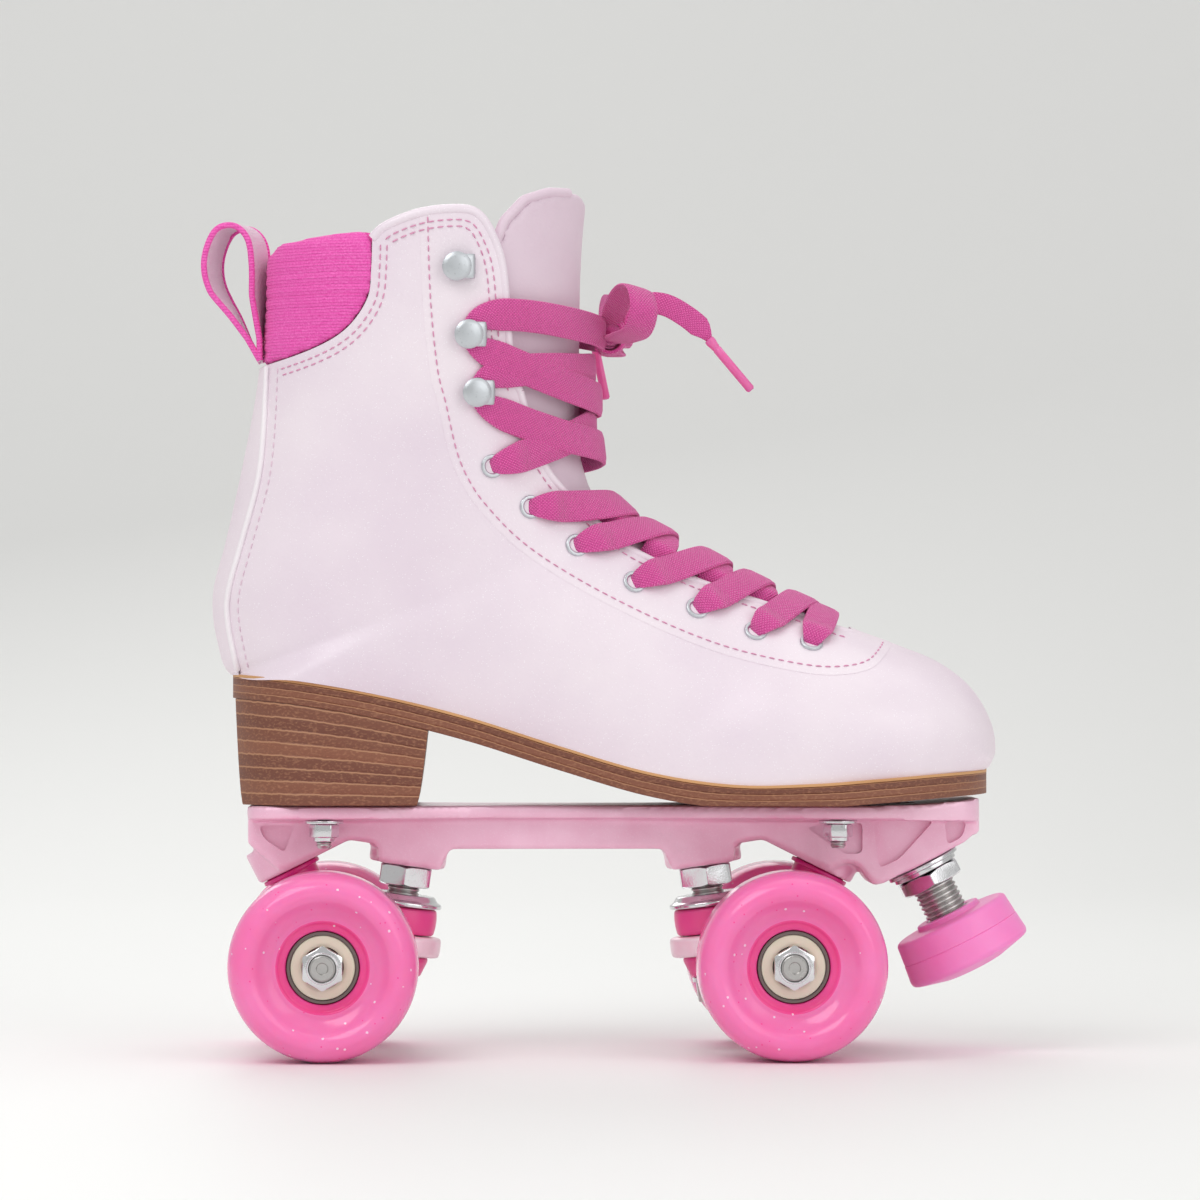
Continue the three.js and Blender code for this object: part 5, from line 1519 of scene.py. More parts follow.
@dataclass
class Boot:
    """The lace-up boot: shell, facings, backstay, collar, tongue, hardware and stitching."""

    skin: Skin
    wardrobe: Wardrobe
    wall: float = 2.6
    facing_lift: float = 0.15
    collar_pad: float = 7.0
    tongue_pad: float = 4.5
    rib_pitch: float = 3.4
    rib_depth: float = 0.5
    piping_radius: float = 0.9
    tab_width: float = 17.0
    tab_height: float = 1.5
    tab_turn: float = 0.3

    def build(self) -> None:
        """Makes every piece of the boot."""
        self._shell()
        self._facings()
        self._backstay()
        self._collar()
        self._tongue()
        self._footbed()
        self._edges()
        self._tab()
        self._eyelets()
        self._hooks()
        self._stitching()

    def _shell(self) -> None:
        """The upper's leather, with its lining on the inside."""
        shell = self.skin.form("upper_shell", 0, rows=230, columns=48)
        room = self.skin.form("room", self.wall, Skin.LAST_ROOM_RIB, rows=150, columns=36)
        lining = self.wardrobe["lining_velour"]
        shell.data.materials.append(self.wardrobe["upper_leather"])
        room.data.materials.append(lining)
        only(shell)
        modifier = shell.modifiers.new("room", "BOOLEAN")
        modifier.operation, modifier.object, modifier.solver = "DIFFERENCE", room, "MANIFOLD"
        modifier.material_mode = "TRANSFER"
        bpy.ops.object.modifier_apply(modifier=modifier.name)
        bpy.data.objects.remove(room, do_unlink=True)
        cut(shell, prism("open", Lines.open_side(), -SIDE_REACH, SIDE_REACH), Cut.LESS)
        smooth(shell, 40)
        dress(shell, self.wardrobe["upper_leather"], "chassis", "upper_leather", "upper")

    def _facings(self) -> None:
        """The raised leather that carries the eyelets and hooks, and the toe's end of the throat."""
        edge = beside(Lines.FACING, -2.4)
        outline = pairs(edge) + [(120, 200), (60, 330), (-62, 330)]
        facing = sheath(self.skin, "facing", -self.facing_lift, 0.6, outline, rows=200, columns=40)
        cut(facing, prism("open", Lines.open_side(), -SIDE_REACH, SIDE_REACH), Cut.LESS)
        smooth(facing, 40)
        dress(facing, self.wardrobe["facing_leather"], "chassis", "upper_leather")

    def _backstay(self) -> None:
        """The strip up the back of the heel, with piping along both its edges."""
        outline = pairs(Lines.BACKSTAY) + [(-118.3, 100), (-150, 100), (-150, 213.2)]
        strip = sheath(self.skin, "backstay", -0.7, 0.6, outline, rows=200, columns=40)
        below = [(-160, 60), (-60, 60), (-60, 116.4), (-160, 118.4)]
        cut(strip, prism("below", below, -SIDE_REACH, SIDE_REACH), Cut.LESS)
        smooth(strip, 40)
        dress(strip, self.wardrobe["facing_leather"], "chassis", "upper_leather")
        rolls = []
        for side in Side:
            path, _ = self.skin.on(even(Lines.BACKSTAY, ROW_STEP), side.value[1], 0.5)
            rolls.append(cable("roll", path, self.piping_radius))
        dress(merged("backstay_piping", rolls), self.wardrobe["piping_leather"], "chassis", "upper_leather")

    def _soft(self, name: str, outer: float, inner: float, outline: list, voxel: float = 1.3,
              rounds: int = 6) -> bpy.types.Object:
        """A padded layer with soft round edges."""
        piece = sheath(self.skin, name, outer, inner, outline, Skin.LAST_ROOM_RIB, 110, 24)
        return melt(piece, voxel, rounds, 80)

    def _collar(self) -> None:
        """The padded heel collar, ribbed where it shows outside."""
        top = [(-118, 239), (-110.6, 243), (-109, 247.6), (-105, 250.8), (-92, 253), (-79, 254)]
        window = [point for point in pairs(Lines.COLLAR + (-0.3, 0.3)) if point[0] > -119]
        pad = self._soft("collar_pad", 0.4, self.wall + self.collar_pad - 0.4, window + top[::-1], 1.2, 8)
        inside = [(-120, 196), (-78, 204), (-72.5, 232), (-73.5, 252.4)] + top[::-1]
        lining = self._soft("collar_lining", self.wall + 0.5, self.wall + self.collar_pad, inside, 1.3, 8)
        points, normals = corners(pad), facings(pad)
        outer = self.skin.find(points[:, [0, 2]])
        skin_points = self.skin.point(outer[:, 0], outer[:, 1], np.sign(points[:, 1]) + (points[:, 1] == 0))
        depth = np.abs(skin_points[:, 1]) - np.abs(points[:, 1])
        near = np.clip(1 - depth / 4.0, 0, 1)
        low = level(Lines.COLLAR, points[:, 0])
        bulge = np.clip((points[:, 2] - low) / 7, 0, 1) * np.clip((252.5 - points[:, 2]) / 6, 0, 1)
        ribs = np.abs(np.sin(np.pi * points[:, 2] / self.rib_pitch)) - 0.5
        swell = 1.6 * np.sqrt(bulge) + self.rib_depth * 2 * ribs * np.minimum(bulge * 2, 1)
        points = points + normals * (near * swell)[:, None]
        set_corners(pad, points)
        dress(pad, self.wardrobe["collar_velour"], "chassis", "collar_cloth", "heel_collar")
        dress(lining, self.wardrobe["lining_velour"], "chassis", "collar_cloth", "heel_collar")

    def _tongue(self) -> None:
        """The padded tongue, its bound edge and its lining."""
        front = [(-12.0, 205), (-12.2, 185), (-9.6, 176.4), (0.4, 162), (24, 151), (66, 133)]
        back = [(60, 128), (20, 138), (-8, 151), (-28, 168), (-46, 200), (-46, 236), (-38, 250)]
        head = [(-34.5, 258), (-28, 264.6), (-20, 267.2), (-13, 267.4), (-8, 262)]
        tongue = self._soft("tongue_pad", self.wall + 0.3, self.wall + self.tongue_pad, front + back + head, 1.2, 5)
        dress(tongue, self.wardrobe["tongue_leather"], "chassis", "tongue_leather", "tongue")
        edge = [(-46, 206), (-47.4, 234), (-40.4, 250.6), (-36.8, 259.4), (-33.4, 262.2), (-31, 261), (-34, 250),
                (-38, 236), (-38, 206)]
        lining = self._soft("tongue_lining", self.wall + 1.4, self.wall + self.tongue_pad + 0.6, edge, 0.9, 4)
        dress(lining, self.wardrobe["lining_velour"], "chassis", "lining_cloth", "tongue")
        rim = even(np.array(back[4:] + head[:-1], float), ROW_STEP)
        rolls = []
        for side in Side:
            path, _ = self.skin.on(rim, side.value[1], -self.wall - 1.6)
            path[:, 2] -= 0.8
            rolls.append(cable("roll", path, 1.7))
        dress(merged("tongue_binding", rolls), self.wardrobe["tongue_leather"], "chassis", "tongue_leather")

    def _footbed(self) -> None:
        """The insole inside the boot."""
        line = even(Lines.SOLE, 4)
        outline = pairs(line + (0, self.wall + 0.4)) + pairs(line[::-1] + (0, self.wall + 4.2))
        insole = self.skin.form("insole", self.wall + 0.4, Skin.LAST_ROOM_RIB, 110, 24)
        cut(insole, prism("slab", outline, -SIDE_REACH, SIDE_REACH), Cut.INSIDE)
        melt(insole, 1.5, 4, 80)
        dress(insole, self.wardrobe["insole_velour"], "chassis", "lining_cloth", "footbed")

    def _edges(self) -> None:
        """The rolled edge along the collar, the top and the throat."""
        rolls = []
        for side in Side:
            sign = side.value[1]
            for line in (Lines.COLLAR[12:], Lines.TOP, np.vstack([Lines.TOP[-1:], Lines.THROAT])):
                path, _ = self.skin.on(even(line, ROW_STEP), sign, -self.wall / 2 + 0.3)
                rolls.append(cable("roll", path, self.wall / 2 + 0.35, 14))
        dress(merged("edge_rolls", rolls), self.wardrobe["facing_leather"], "chassis", "upper_leather")

    def _tab(self) -> None:
        """The pull tab: a webbing loop sewn to the back."""
        loop = spline([(-112, 215.4), (-119.4, 228.3), (-125.6, 238), (-126.9, 247), (-123.6, 255.6), (-118, 257.3),
                       (-113.6, 253.4), (-112.2, 245), (-112.2, 232), (-112, 215.4)], 80)
        path = np.stack([loop[:, 0], np.zeros(len(loop)), loop[:, 1]], axis=1)
        slant = np.clip((path[:, 2] - 222) / 14, 0, 1)[:, None] * (self.tab_turn, 0, 0)
        across = (0, 1, 0) + slant
        normals = np.cross(np.gradient(path, axis=0), across)
        band = ribbon("pull_loop", path, normals, np.full(len(path), self.tab_width), self.tab_height)
        dress(band, self.wardrobe["tab_weave"], "chassis", "tab_webbing", "pull_tab")
        edges = []
        for side in Side:
            edge = path + across * side.value[1] * (self.tab_width / 2 - 0.7)
            edges.append(cable("edge", edge, 0.95))
        dress(merged("pull_loop_edges", edges), self.wardrobe["collar_velour"], "chassis", "tab_webbing")

    def _eyelets(self) -> None:
        """Seven eyelets on each side."""
        rim = fillet([(2.3, -0.8), (3.1, -0.8), (3.75, 0.1), (3.5, 0.75), (2.6, 0.8), (2.15, 0.2)], 0.35)
        rings = []
        for side in Side:
            places, normals = self.skin.on(Laces.HOLES[2:], side.value[1], self.facing_lift)
            for place_at, normal in zip(places, normals):
                rings.append(lathe("eyelet", rim, place_at, normal, 32))
        dress(merged("eyelets", rings), self.wardrobe["nickel_plate"], "chassis", "bright_steel")

    def _hooks(self) -> None:
        """Three lace hooks on each side: a domed disc on a folded strap."""
        disc = fillet([(0, 2.4), (3.8, 2.3), (4.5, 2.7), (4.55, 3.2), (3.4, 3.8), (1.7, 4.1), (0, 4.2)], 0.4,
                      closed=False)
        foot = fillet([(0, 0), (3.4, 0), (3.4, 0.7), (1.7, 1.1), (1.5, 2.5), (0, 2.5)], 0.3, closed=False)
        hooks = []
        line = np.vstack([[Laces.TOP_HOOK], Laces.HOLES[:2]])
        for side in Side:
            sign = side.value[1]
            places, normals = self.skin.on(line, sign, self.facing_lift)
            ahead, _ = self.skin.on(line + (5.4, 0), sign, self.facing_lift)
            for place_at, normal, front in zip(places, normals, ahead):
                hooks.append(lathe("disc", disc, place_at, normal, 40))
                hooks.append(lathe("foot", foot, place_at, normal, 32))
                path = np.array([place_at + normal * 2.9, (place_at + front) / 2 + normal * 2.7,
                                 front + normal * 1.9, front + normal * 0.5, (place_at + front) / 2 + normal * 0.3])
                path = even(chordal(path, np.linspace(0, 1, 24)), 0.5)
                along = np.gradient(path, axis=0)
                upward = np.cross(normal, front - place_at)
                faces = np.cross(along, upward)
                strap = ribbon("strap", path, faces, np.full(len(path), 7.6), 0.7)
                hooks.append(strap)
        dress(merged("lace_hooks", hooks), self.wardrobe["nickel_plate"], "chassis", "bright_steel")

    def _stitching(self) -> None:
        """Every row of stitches."""
        rows, pale = [], []
        top = beside(Lines.TOP, -3.2)[4:-3]
        inner_top = beside(Lines.TOP, -5.2)[6:-5]
        collar = beside(Lines.COLLAR, -2.6)[16:]
        collar_two = beside(Lines.COLLAR, -4.6)[16:]
        throat = beside(Lines.THROAT, -2.6)[2:-4]
        lift = self.facing_lift + 0.05
        for side in Side:
            sign = side.value[1]
            for line, raised in ((Lines.FACING[:-2], lift), (throat, lift), (top, lift), (inner_top, lift),
                                 (collar, 0.05), (collar_two, 0.05)):
                path, normals = self.skin.on(even(line, 1.0), sign, raised)
                rows.append(stitches("row", path, normals))
            path, normals = self.skin.on(even(Lines.BACKSTAY + (3.2, 0), 1.0), sign, 0.05)
            pale.append(stitches("row", path, normals))
        dress(merged("stitch_rows", rows), self.wardrobe["thread_cotton"], "chassis", "upper_leather")
        dress(merged("backstay_stitches", pale), self.wardrobe["thread_pale"], "chassis", "upper_leather")


# ---------------------------------------------------------------- sole


@dataclass
class Sole:
    """The leather sole and the stacked heel, layer by layer."""

    skin: Skin
    wardrobe: Wardrobe
    plate_top: float = 77.3
    gap: float = 0.3
    thickness: float = 7.0
    groove: float = 0.22
    stations: int = 150

    def build(self) -> None:
        """Makes the sole and the heel block."""
        self._sole()
        self._heel()

    def _layers(self, name: str, lower: object, upper: object, start: object, end: object, count: int,
                grow: float = 0.0) -> bpy.types.Object:
        """A stack of leather layers inside the sole's plan.

        Args:
            name: the piece's name.
            lower: gives the underside's height at each x.
            upper: gives the top's height at each x.
            start: gives where the plan starts at a share of the height.
            end: gives where the plan ends at a share of the height.
            count: how many layers.
            grow: how far it stands outside the plan.

        Returns:
            The closed stack, with layers counted along V of its UV map.
        """
        shares, insets = [], []
        for k in range(count):
            for inside, inset in ((0.0, self.groove), (0.12, 0.0), (0.88, 0.0)):
                shares.append((k + inside) / count)
                insets.append(inset)
        shares.append(1.0)
        insets.append(self.groove)
        ease = (1 - np.cos(np.linspace(0, np.pi, self.stations + 1))) / 2
        points, runs = [], []
        for share, inset in zip(shares, insets):
            x = start(share) + (end(share) - start(share)) * ease
            half = np.maximum(self.skin.sole_half(x) + grow - inset, 0.05)
            z = lower(x) + (upper(x) - lower(x)) * share
            middle = self.skin.middle(x)
            right = np.stack([x, middle - half, z], axis=1)
            left = np.stack([x, middle + half, z], axis=1)
            ring = np.vstack([right, left[::-1]])
            points.append(ring)
            runs.append(np.concatenate([[0], np.cumsum(np.linalg.norm(np.diff(ring, axis=0), axis=1))]))
        around, rows = 2 * (self.stations + 1), len(shares) - 1
        piece = mesh_piece(name, np.vstack(points), quads(rows, around) + lids(rows, around))
        layer = piece.data.uv_layers.new(name="layers")
        for polygon in piece.data.polygons:
            flat = abs(polygon.normal.z) > 0.8
            for loop in polygon.loop_indices:
                row, k = divmod(piece.data.loops[loop].vertex_index, around)
                layer.data[loop].uv = (runs[row][k], 0.5 if flat else shares[row] * count)
        outward(piece, 0.001)
        return smooth(piece, 30)

    def _sole(self) -> None:
        """The sole, with its pale top line."""
        def top(x: np.ndarray) -> np.ndarray:
            """The height of the sole's top."""
            return level(Lines.SOLE, x) - self.gap

        def bottom(x: np.ndarray) -> np.ndarray:
            """The height of the sole's underside."""
            return np.maximum(top(x) - self.thickness, self.plate_top + self.gap)

        start, end = (lambda share: Skin.SEAT_BACK), (lambda share: Skin.SEAT_FRONT)
        sole = self._layers("sole_stack", bottom, lambda x: top(x) - 0.5, start, end, 3)
        dress(sole, self.wardrobe["sole_edge"], "chassis", "sole_leather", "sole")
        welt = self._layers("sole_welt", lambda x: top(x) - 0.45, lambda x: top(x) + 0.45, start, end, 1, 0.4)
        dress(welt, self.wardrobe["sole_top"], "chassis", "sole_leather", "sole")

    def _heel(self) -> None:
        """The heel block, with its painted breast."""
        def top(x: np.ndarray) -> np.ndarray:
            """The height of the heel's top."""
            return level(Lines.SOLE, x) - self.gap - self.thickness - 0.1

        low = self.plate_top + self.gap
        back = (lambda share: -116.8 - 2.6 * share ** 0.6)
        front = (lambda share: -63 + 3.4 * share ** 0.7)
        heel = self._layers("heel_stack", lambda x: np.full(len(x), low), top, back, front, 8)
        heel.data.materials.append(self.wardrobe["sole_edge"])
        heel.data.materials.append(self.wardrobe["sole_paint"])
        for polygon in heel.data.polygons:
            if polygon.normal.x > 0.8:
                polygon.material_index = 1
        dress(heel, self.wardrobe["sole_edge"], "chassis", "heel_leather", "heel_block")


# ---------------------------------------------------------------- plate


@dataclass
class Plate:
    """The cast plate, its mount nuts and bolts, seen below the boot."""

    wardrobe: Wardrobe
    axle_z: float = 29.0
    front_x: float = 51.5
    rear_x: float = -91.3
    top: float = 48.3
    flange: float = 4.2
    core_half: float = 12.5
    lean: float = math.radians(8)
    ring: Pair = (-21.6, 5.1)
    pivot: Pair = (9.5, 24.5)
    pivot_lean: float = math.radians(26.7)
    boss_face: float = 24.55
    toe_lean: float = math.radians(26.8)
    toe_boss: Pair = (43.1, 30)
    bolt_spread: float = 21.0
    bolt_ahead: float = 15.5
    bolt_behind: float = 0.3
    pocket_depth: float = 2.2
    pad_spread: float = 20.5

    def truck_point(self, end: End, place_on: Pair, y: float = 0.0) -> Vector:
        """A point given outboard and up from a truck's axle, at y."""
        x = self.front_x if end is End.FRONT else self.rear_x
        return Vector((x + end.value[1] * place_on[0], y, self.axle_z + place_on[1]))

    def kingpin_way(self, end: End) -> Vector:
        """Which way the kingpin points."""
        return Vector((-end.value[1] * math.sin(self.lean), 0, math.cos(self.lean)))

    def along_kingpin(self, end: End, distance: float) -> Vector:
        """A point on the kingpin's line, from the middle of the ring."""
        return self.truck_point(end, self.ring) + self.kingpin_way(end) * distance

    def pivot_way(self, end: End) -> Vector:
        """Which way the pivot cup opens upward."""
        return Vector((end.value[1] * math.sin(self.pivot_lean), 0, math.cos(self.pivot_lean)))

    def along_pivot(self, end: End, distance: float) -> Vector:
        """A point on the pivot's line, from the middle of its ball."""
        return self.truck_point(end, self.pivot) + self.pivot_way(end) * distance

    def toe_way(self) -> Vector:
        """Which way the toe stop points."""
        return Vector((math.sin(self.toe_lean), 0, -math.cos(self.toe_lean)))

    def along_toe(self, distance: float) -> Vector:
        """A point on the toe stop's line, from the boss face."""
        return self.truck_point(End.FRONT, self.toe_boss) + self.toe_way() * distance

    def build(self) -> None:
        """Makes the plate and its fasteners."""
        self._casting()
        self._fasteners()

    def _bolt_x(self, end: End) -> float:
        """Where a truck's mount bolts stand along X."""
        return self.front_x + self.bolt_ahead if end is End.FRONT else self.rear_x - self.bolt_behind

    def around(self, end: End, points: list) -> list:
        """An outline's (x, z) from (outboard, up) pairs."""
        return [tuple(self.truck_point(end, point).xz) for point in points]

    def _boss_corner(self, end: End, offset: float) -> Pair:
        """A corner of the boss face, at offset from the kingpin's line."""
        face = self.along_kingpin(end, self.boss_face)
        return (face.x + end.value[1] * offset * math.cos(self.lean), face.z + offset * math.sin(self.lean))

    def _casting(self) -> None:
        """The plate itself: flange, core, bosses and pockets, melted into one casting."""
        under = self.top - self.flange / 2
        arch = [(-15.8, 35.7), (-14.2, 36.4), (-7.2, 37.5), (-0.7, 34.2), (12.7, 27.5)]
        rear = [(24.1, under), (24.1, 36.5), (23.3, 35.7), (14.6, 28)] + arch[::-1]
        toe = [(17.9, 29.9), (20.4, 29.9), (22.4, 28.9), (26.1, 24), (27.8, 23.2), (30.6, 24),
               (55.9, 36.8), (57.7, 38.6), (60.1, 39.5), (60.1, under)]
        front, back = End.FRONT, End.REAR
        core = (self.around(back, rear) + [self._boss_corner(back, 9), self._boss_corner(back, -10.5)]
                + self.around(back, [(-38.4, 34.6)]) + self.around(front, [(-38.4, 34.6)])
                + [self._boss_corner(front, -10.5), self._boss_corner(front, 9)]
                + self.around(front, arch + toe))
        side = self.around(back, [(24.1, self.top), (24.1, self.top - self.flange)]) + self.around(
            front, [(30, 44.1), (60.1, 43), (60.1, 50.4), (52, 49.6), (38, 48.6), (24, self.top)])
        half = [(self.rear_x - x, y) for x, y in ((24.1, 18), (22.5, 23), (17, 26.5), (0, 27.5), (-20, 27), (-45, 17))]
        half += [(self.front_x + x, y) for x, y in ((-45, 17), (-20, 24), (0, 28), (25, 28.5), (45, 25), (57, 20),
                                                    (60.1, 14))]
        plan = fillet([(x, -y) for x, y in half] + [(x, y) for x, y in half[::-1]], 9)
        flange = prism("plate", side, -40, 40)
        cut(flange, prism("plan", plan, 20, 130, plan=True), Cut.INSIDE)
        parts = [flange, prism("core", core, -self.core_half, self.core_half)]
        for end in End:
            parts.append(rod("boss", 12, self.along_kingpin(end, self.boss_face),
                             self.along_kingpin(end, self.boss_face + 10)))
            parts.append(rod("cup_seat", 10.6, self.along_pivot(end, 4.1), self.along_pivot(end, 14)))
        parts.append(rod("toe_boss", 12.7, self.along_toe(0), self.along_toe(-15)))
        for y in (-self.pad_spread, self.pad_spread):
            for end in End:
                foot = Vector((self._bolt_x(end), y, self.axle_z + self.top - self.flange - 0.05))
                parts.append(rod("pad", 6.4, foot, foot + Vector((0, 0, 2))))
        plate = melt(merged("cast_plate_body", parts), 0.9, 3, 60)
        self._carve(plate)
        smooth(plate, 35)
        dress(plate, self.wardrobe["cast_plate"], "chassis", "cast_plate", "plate")

    def _carve(self, plate: bpy.types.Object) -> None:
        """Cuts the bores and the pockets."""
        for end in End:
            cut(plate, rod("bore", 5.3, self.along_kingpin(end, self.boss_face - 2),
                           self.along_kingpin(end, self.boss_face + 10.2)), Cut.LESS)
            cut(plate, rod("cup", 8.3, self.along_pivot(end, 2), self.along_pivot(end, 8.4)), Cut.LESS)
            cut(plate, rod("face", 10.2, self.along_pivot(end, 1), self.along_pivot(end, 4.1), 0.1), Cut.LESS)
        cut(plate, rod("stem", 7.0, self.along_toe(-24), self.along_toe(4)), Cut.LESS)
        pockets = [
            [(78.6, 72.2), (97.4, 72.2), (86.6, 60.4), (80.4, 57.6)],
            [(100.8, 72.2), (107.6, 72.2), (106.4, 67.4), (101.6, 64.8)],
            [(57.8, 70.4), (75.2, 71.8), (75.2, 62.2), (69.8, 62)],
            [(-112, 71), (-101, 71), (-104, 62.6), (-110.5, 67)],
        ]
        for outline in pockets:
            rounded = fillet(outline, 1.8)
            inner, outer = self.core_half - self.pocket_depth, self.core_half + 3
            for low, high in ((-outer, -inner), (inner, outer)):
                cut(plate, prism("pocket", rounded, low, high), Cut.LESS)

    def _fasteners(self) -> None:
        """The bolts that hold the boot, with their lock nuts, washers and heads."""
        up = Vector((0, 0, 1))
        face = self.axle_z + self.top - self.flange
        for end in End:
            name, x = end.value[0], self._bolt_x(end)
            for side in Side:
                side_name, sign = side.value
                y = sign * self.bolt_spread
                seat = float(level(Lines.SOLE, x)) + 4.0
                low = face - 0.3 - 5.6
                head = [(2.3, seat), (5.4, seat), (5.5, seat + 1.2), (3.4, seat + 2), (0, seat + 2)]
                shank = [(0, low - 3), (2.0, low - 3)] + thread(2.4, 0.35, 0.9, low - 2.6, face) + [(2.3, face + 1)]
                shank = fillet(shank + head, 0.12, closed=False, steps=1)
                bolt = lathe(f"boot_bolt_{name}_{side_name}", shank, (x, y, 0), up, 32)
                dress(bolt, self.wardrobe["zinc_plate"], "chassis", "plated_steel", f"mount_bolt_{name}_{side_name}")
                nut = hexagon("nut", 8.0, 4.2, 2.5, (x, y, face - 1.4), (0, 0, -1), 1.2)
                washer = lathe("washer", fillet([(2.6, 0), (6.0, 0), (6.0, 1.0), (2.6, 1.0)], 0.25),
                               (x, y, face - 1.3), up, 40)
                nut = merged(f"boot_nut_{name}_{side_name}", [nut, washer])
                dress(nut, self.wardrobe["bright_plate"], "chassis", "plated_steel", f"mount_nut_{name}_{side_name}")


# ---------------------------------------------------------------- trucks


@dataclass
class Truck:
    """One truck: kingpin stack on the chassis, and the hanger with its axle."""

    plate: Plate
    wardrobe: Wardrobe
    end: End
    ring_half: float = 3.15
    track: float = 78.0
    wheel_width: float = 32.0

    def build(self) -> None:
        """Makes every piece of the truck."""
        self._stack()
        self._pivot_cup()
        self._hanger()
        self._axle()

    def _turned(self, name: str, profile: list, distance: float, radius: float = 0.6) -> bpy.types.Object:
        """A ring round the kingpin, with rounded corners, from distance up."""
        return lathe(name, fillet(profile, radius), self.plate.along_kingpin(self.end, distance),
                     self.plate.kingpin_way(self.end))

    def _stack(self) -> None:
        """Kingpin, cushions, washers and lock nut."""
        name = self.end.value[0]
        plate, way = self.plate, self.plate.kingpin_way(self.end)
        bore = 5.2
        upper = self._turned(f"cushion_upper_{name}", [(bore, 0), (11.2, 0), (11.6, 3), (11.6, 5.4), (11.2, 8.2),
                                                       (bore, 8.2)], 3.45, 1.1)
        dress(upper, self.wardrobe["cushion_urethane"], "chassis", "cushion_urethane", f"upper_cushion_{name}")
        lower = self._turned(f"cushion_lower_{name}", [(bore, 0), (8.8, 0), (10.6, 5.2), (10.4, 6.2), (bore, 6.2)],
                             -9.65, 0.9)
        dress(lower, self.wardrobe["cushion_urethane"], "chassis", "cushion_urethane", f"lower_cushion_{name}")
        for piece, held, keep in ((upper, 11.65, 0.8), (lower, -9.65, 0.76)):
            anchor = tuple(plate.along_kingpin(self.end, held) * MM)
            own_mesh(piece)
        dish = [(bore, 2.2), (8.6, 2.2), (9.8, 0), (12.5, 0), (12.5, 1.3), (11.2, 1.9), (10, 3.6), (bore, 3.6)]
        cup = self._turned(f"cup_washer_{name}", dish, 11.95, 0.5)
        dress(cup, self.wardrobe["bright_plate"], "chassis", "bright_steel", f"upper_cup_washer_{name}")
        flat = self._turned(f"base_washer_{name}", [(bore, 0), (8.5, 0), (8.5, 1.6), (bore, 1.6)], -11.55, 0.4)
        dress(flat, self.wardrobe["bright_plate"], "chassis", "bright_steel", f"lower_washer_{name}")
        nut = hexagon(f"lock_nut_{name}", 15.8, 6.3, 5.2, plate.along_kingpin(self.end, 17.95), way)
        dress(nut, self.wardrobe["bright_plate"], "chassis", "bright_steel", f"kingpin_nut_{name}")
        shank = fillet([(0, -12), (4.8, -12), (4.8, 12.2)], 0.3, False, 1)[:-1]
        shank += thread(5.0, 0.55, 1.4, 12.2, 34.4) + [(0, 34.5)]
        pin = lathe("pin", shank, plate.along_kingpin(self.end, 0), way, 40)
        head = hexagon("head", 15, 6, 0, plate.along_kingpin(self.end, -17.85), way)
        kingpin = merged(f"kingpin_bolt_{name}", [head, pin])
        dress(kingpin, self.wardrobe["zinc_plate"], "chassis", "plated_steel", f"kingpin_{name}")

    def _pivot_cup(self) -> None:
        """The urethane cup that holds the pivot's ball."""
        name = self.end.value[0]
        profile = fillet([(0, 4.7), (2.6, 4.1), (4.2, 2.3), (4.7, 0), (4.8, -3), (8, -3), (8, 2.5), (9.4, 2.5),
                          (9.4, 3.8), (8, 3.8), (8, 8)], 0.4, closed=False)
        cup = lathe(f"pivot_seat_{name}", profile[:1] + profile[2:] + [(0, 8)], self.plate.along_pivot(self.end, 0),
                    self.plate.pivot_way(self.end), 48)
        dress(cup, self.wardrobe["pivot_urethane"], "chassis", "pivot_urethane", f"pivot_cup_{name}")

    def _hanger(self) -> None:
        """The cast hanger: ring, web, pivot arm and axle housing in one."""
        name = self.end.value[0]
        plate, end = self.plate, self.end

        def across(y: float) -> Vector:
            """A point of the axle's line at y."""
            return plate.truck_point(end, (0, 0), y)
        inner = self.track / 2 - 9.5 - 0.3
        half = (self.track - self.wheel_width) / 2
        bar = [(0, -inner), (5.5, -inner), (5.5, -half + 1.6), (6.9, -half + 3.4), (7.5, -half + 7), (7.1, -9),
               (7.5, -4), (7.5, 4), (7.1, 9), (7.5, half - 7), (6.9, half - 3.4), (5.5, half - 1.6), (5.5, inner),
               (0, inner)]
        parts = [lathe("hanger", fillet(bar, 0.8, closed=False), across(0), (0, 1, 0), 48)]
        ring = [(7.6, -self.ring_half), (13.6, -self.ring_half), (14, -2), (14, 2), (13.6, self.ring_half),
                (7.6, self.ring_half)]
        parts.append(self._turned("ring", ring, 0, 0.8))
        ring_x, ring_up = plate.ring
        web = plate.around(end, [(ring_x + 7, ring_up - 3.0), (0, -7), (4, 3), (2, 7), (ring_x + 7, ring_up + 3.4)])
        parts.append(prism("web", web, -9, 9))
        neck = plate.truck_point(end, (2, 3))
        tip = plate.truck_point(end, plate.pivot)
        parts.append(rod("neck", 3.6, neck, tip))
        parts.append(rod("shoulder", 6, plate.truck_point(end, (0, 0)), plate.truck_point(end, (4.4, 10.5)), 1.5))
        bpy.ops.object.select_all(action="DESELECT")
        bpy.ops.mesh.primitive_uv_sphere_add(segments=32, ring_count=20, radius=4.4 * MM, location=tip * MM)
        bpy.ops.object.transform_apply(location=True, rotation=True, scale=True)
        parts.append(bpy.context.object)
        hanger = melt(merged(f"hanger_casting_{name}", parts), 0.7, 4, 60)
        for radius, low, high in ((7.6, -20, 20), (11.8, -25, -self.ring_half), (13.7, self.ring_half, 25)):
            room = rod("room", radius, plate.along_kingpin(end, low), plate.along_kingpin(end, high))
            cut(hanger, room, Cut.LESS)
        cut(hanger, rod("axle_bore", 4.1, across(-60), across(60)), Cut.LESS)
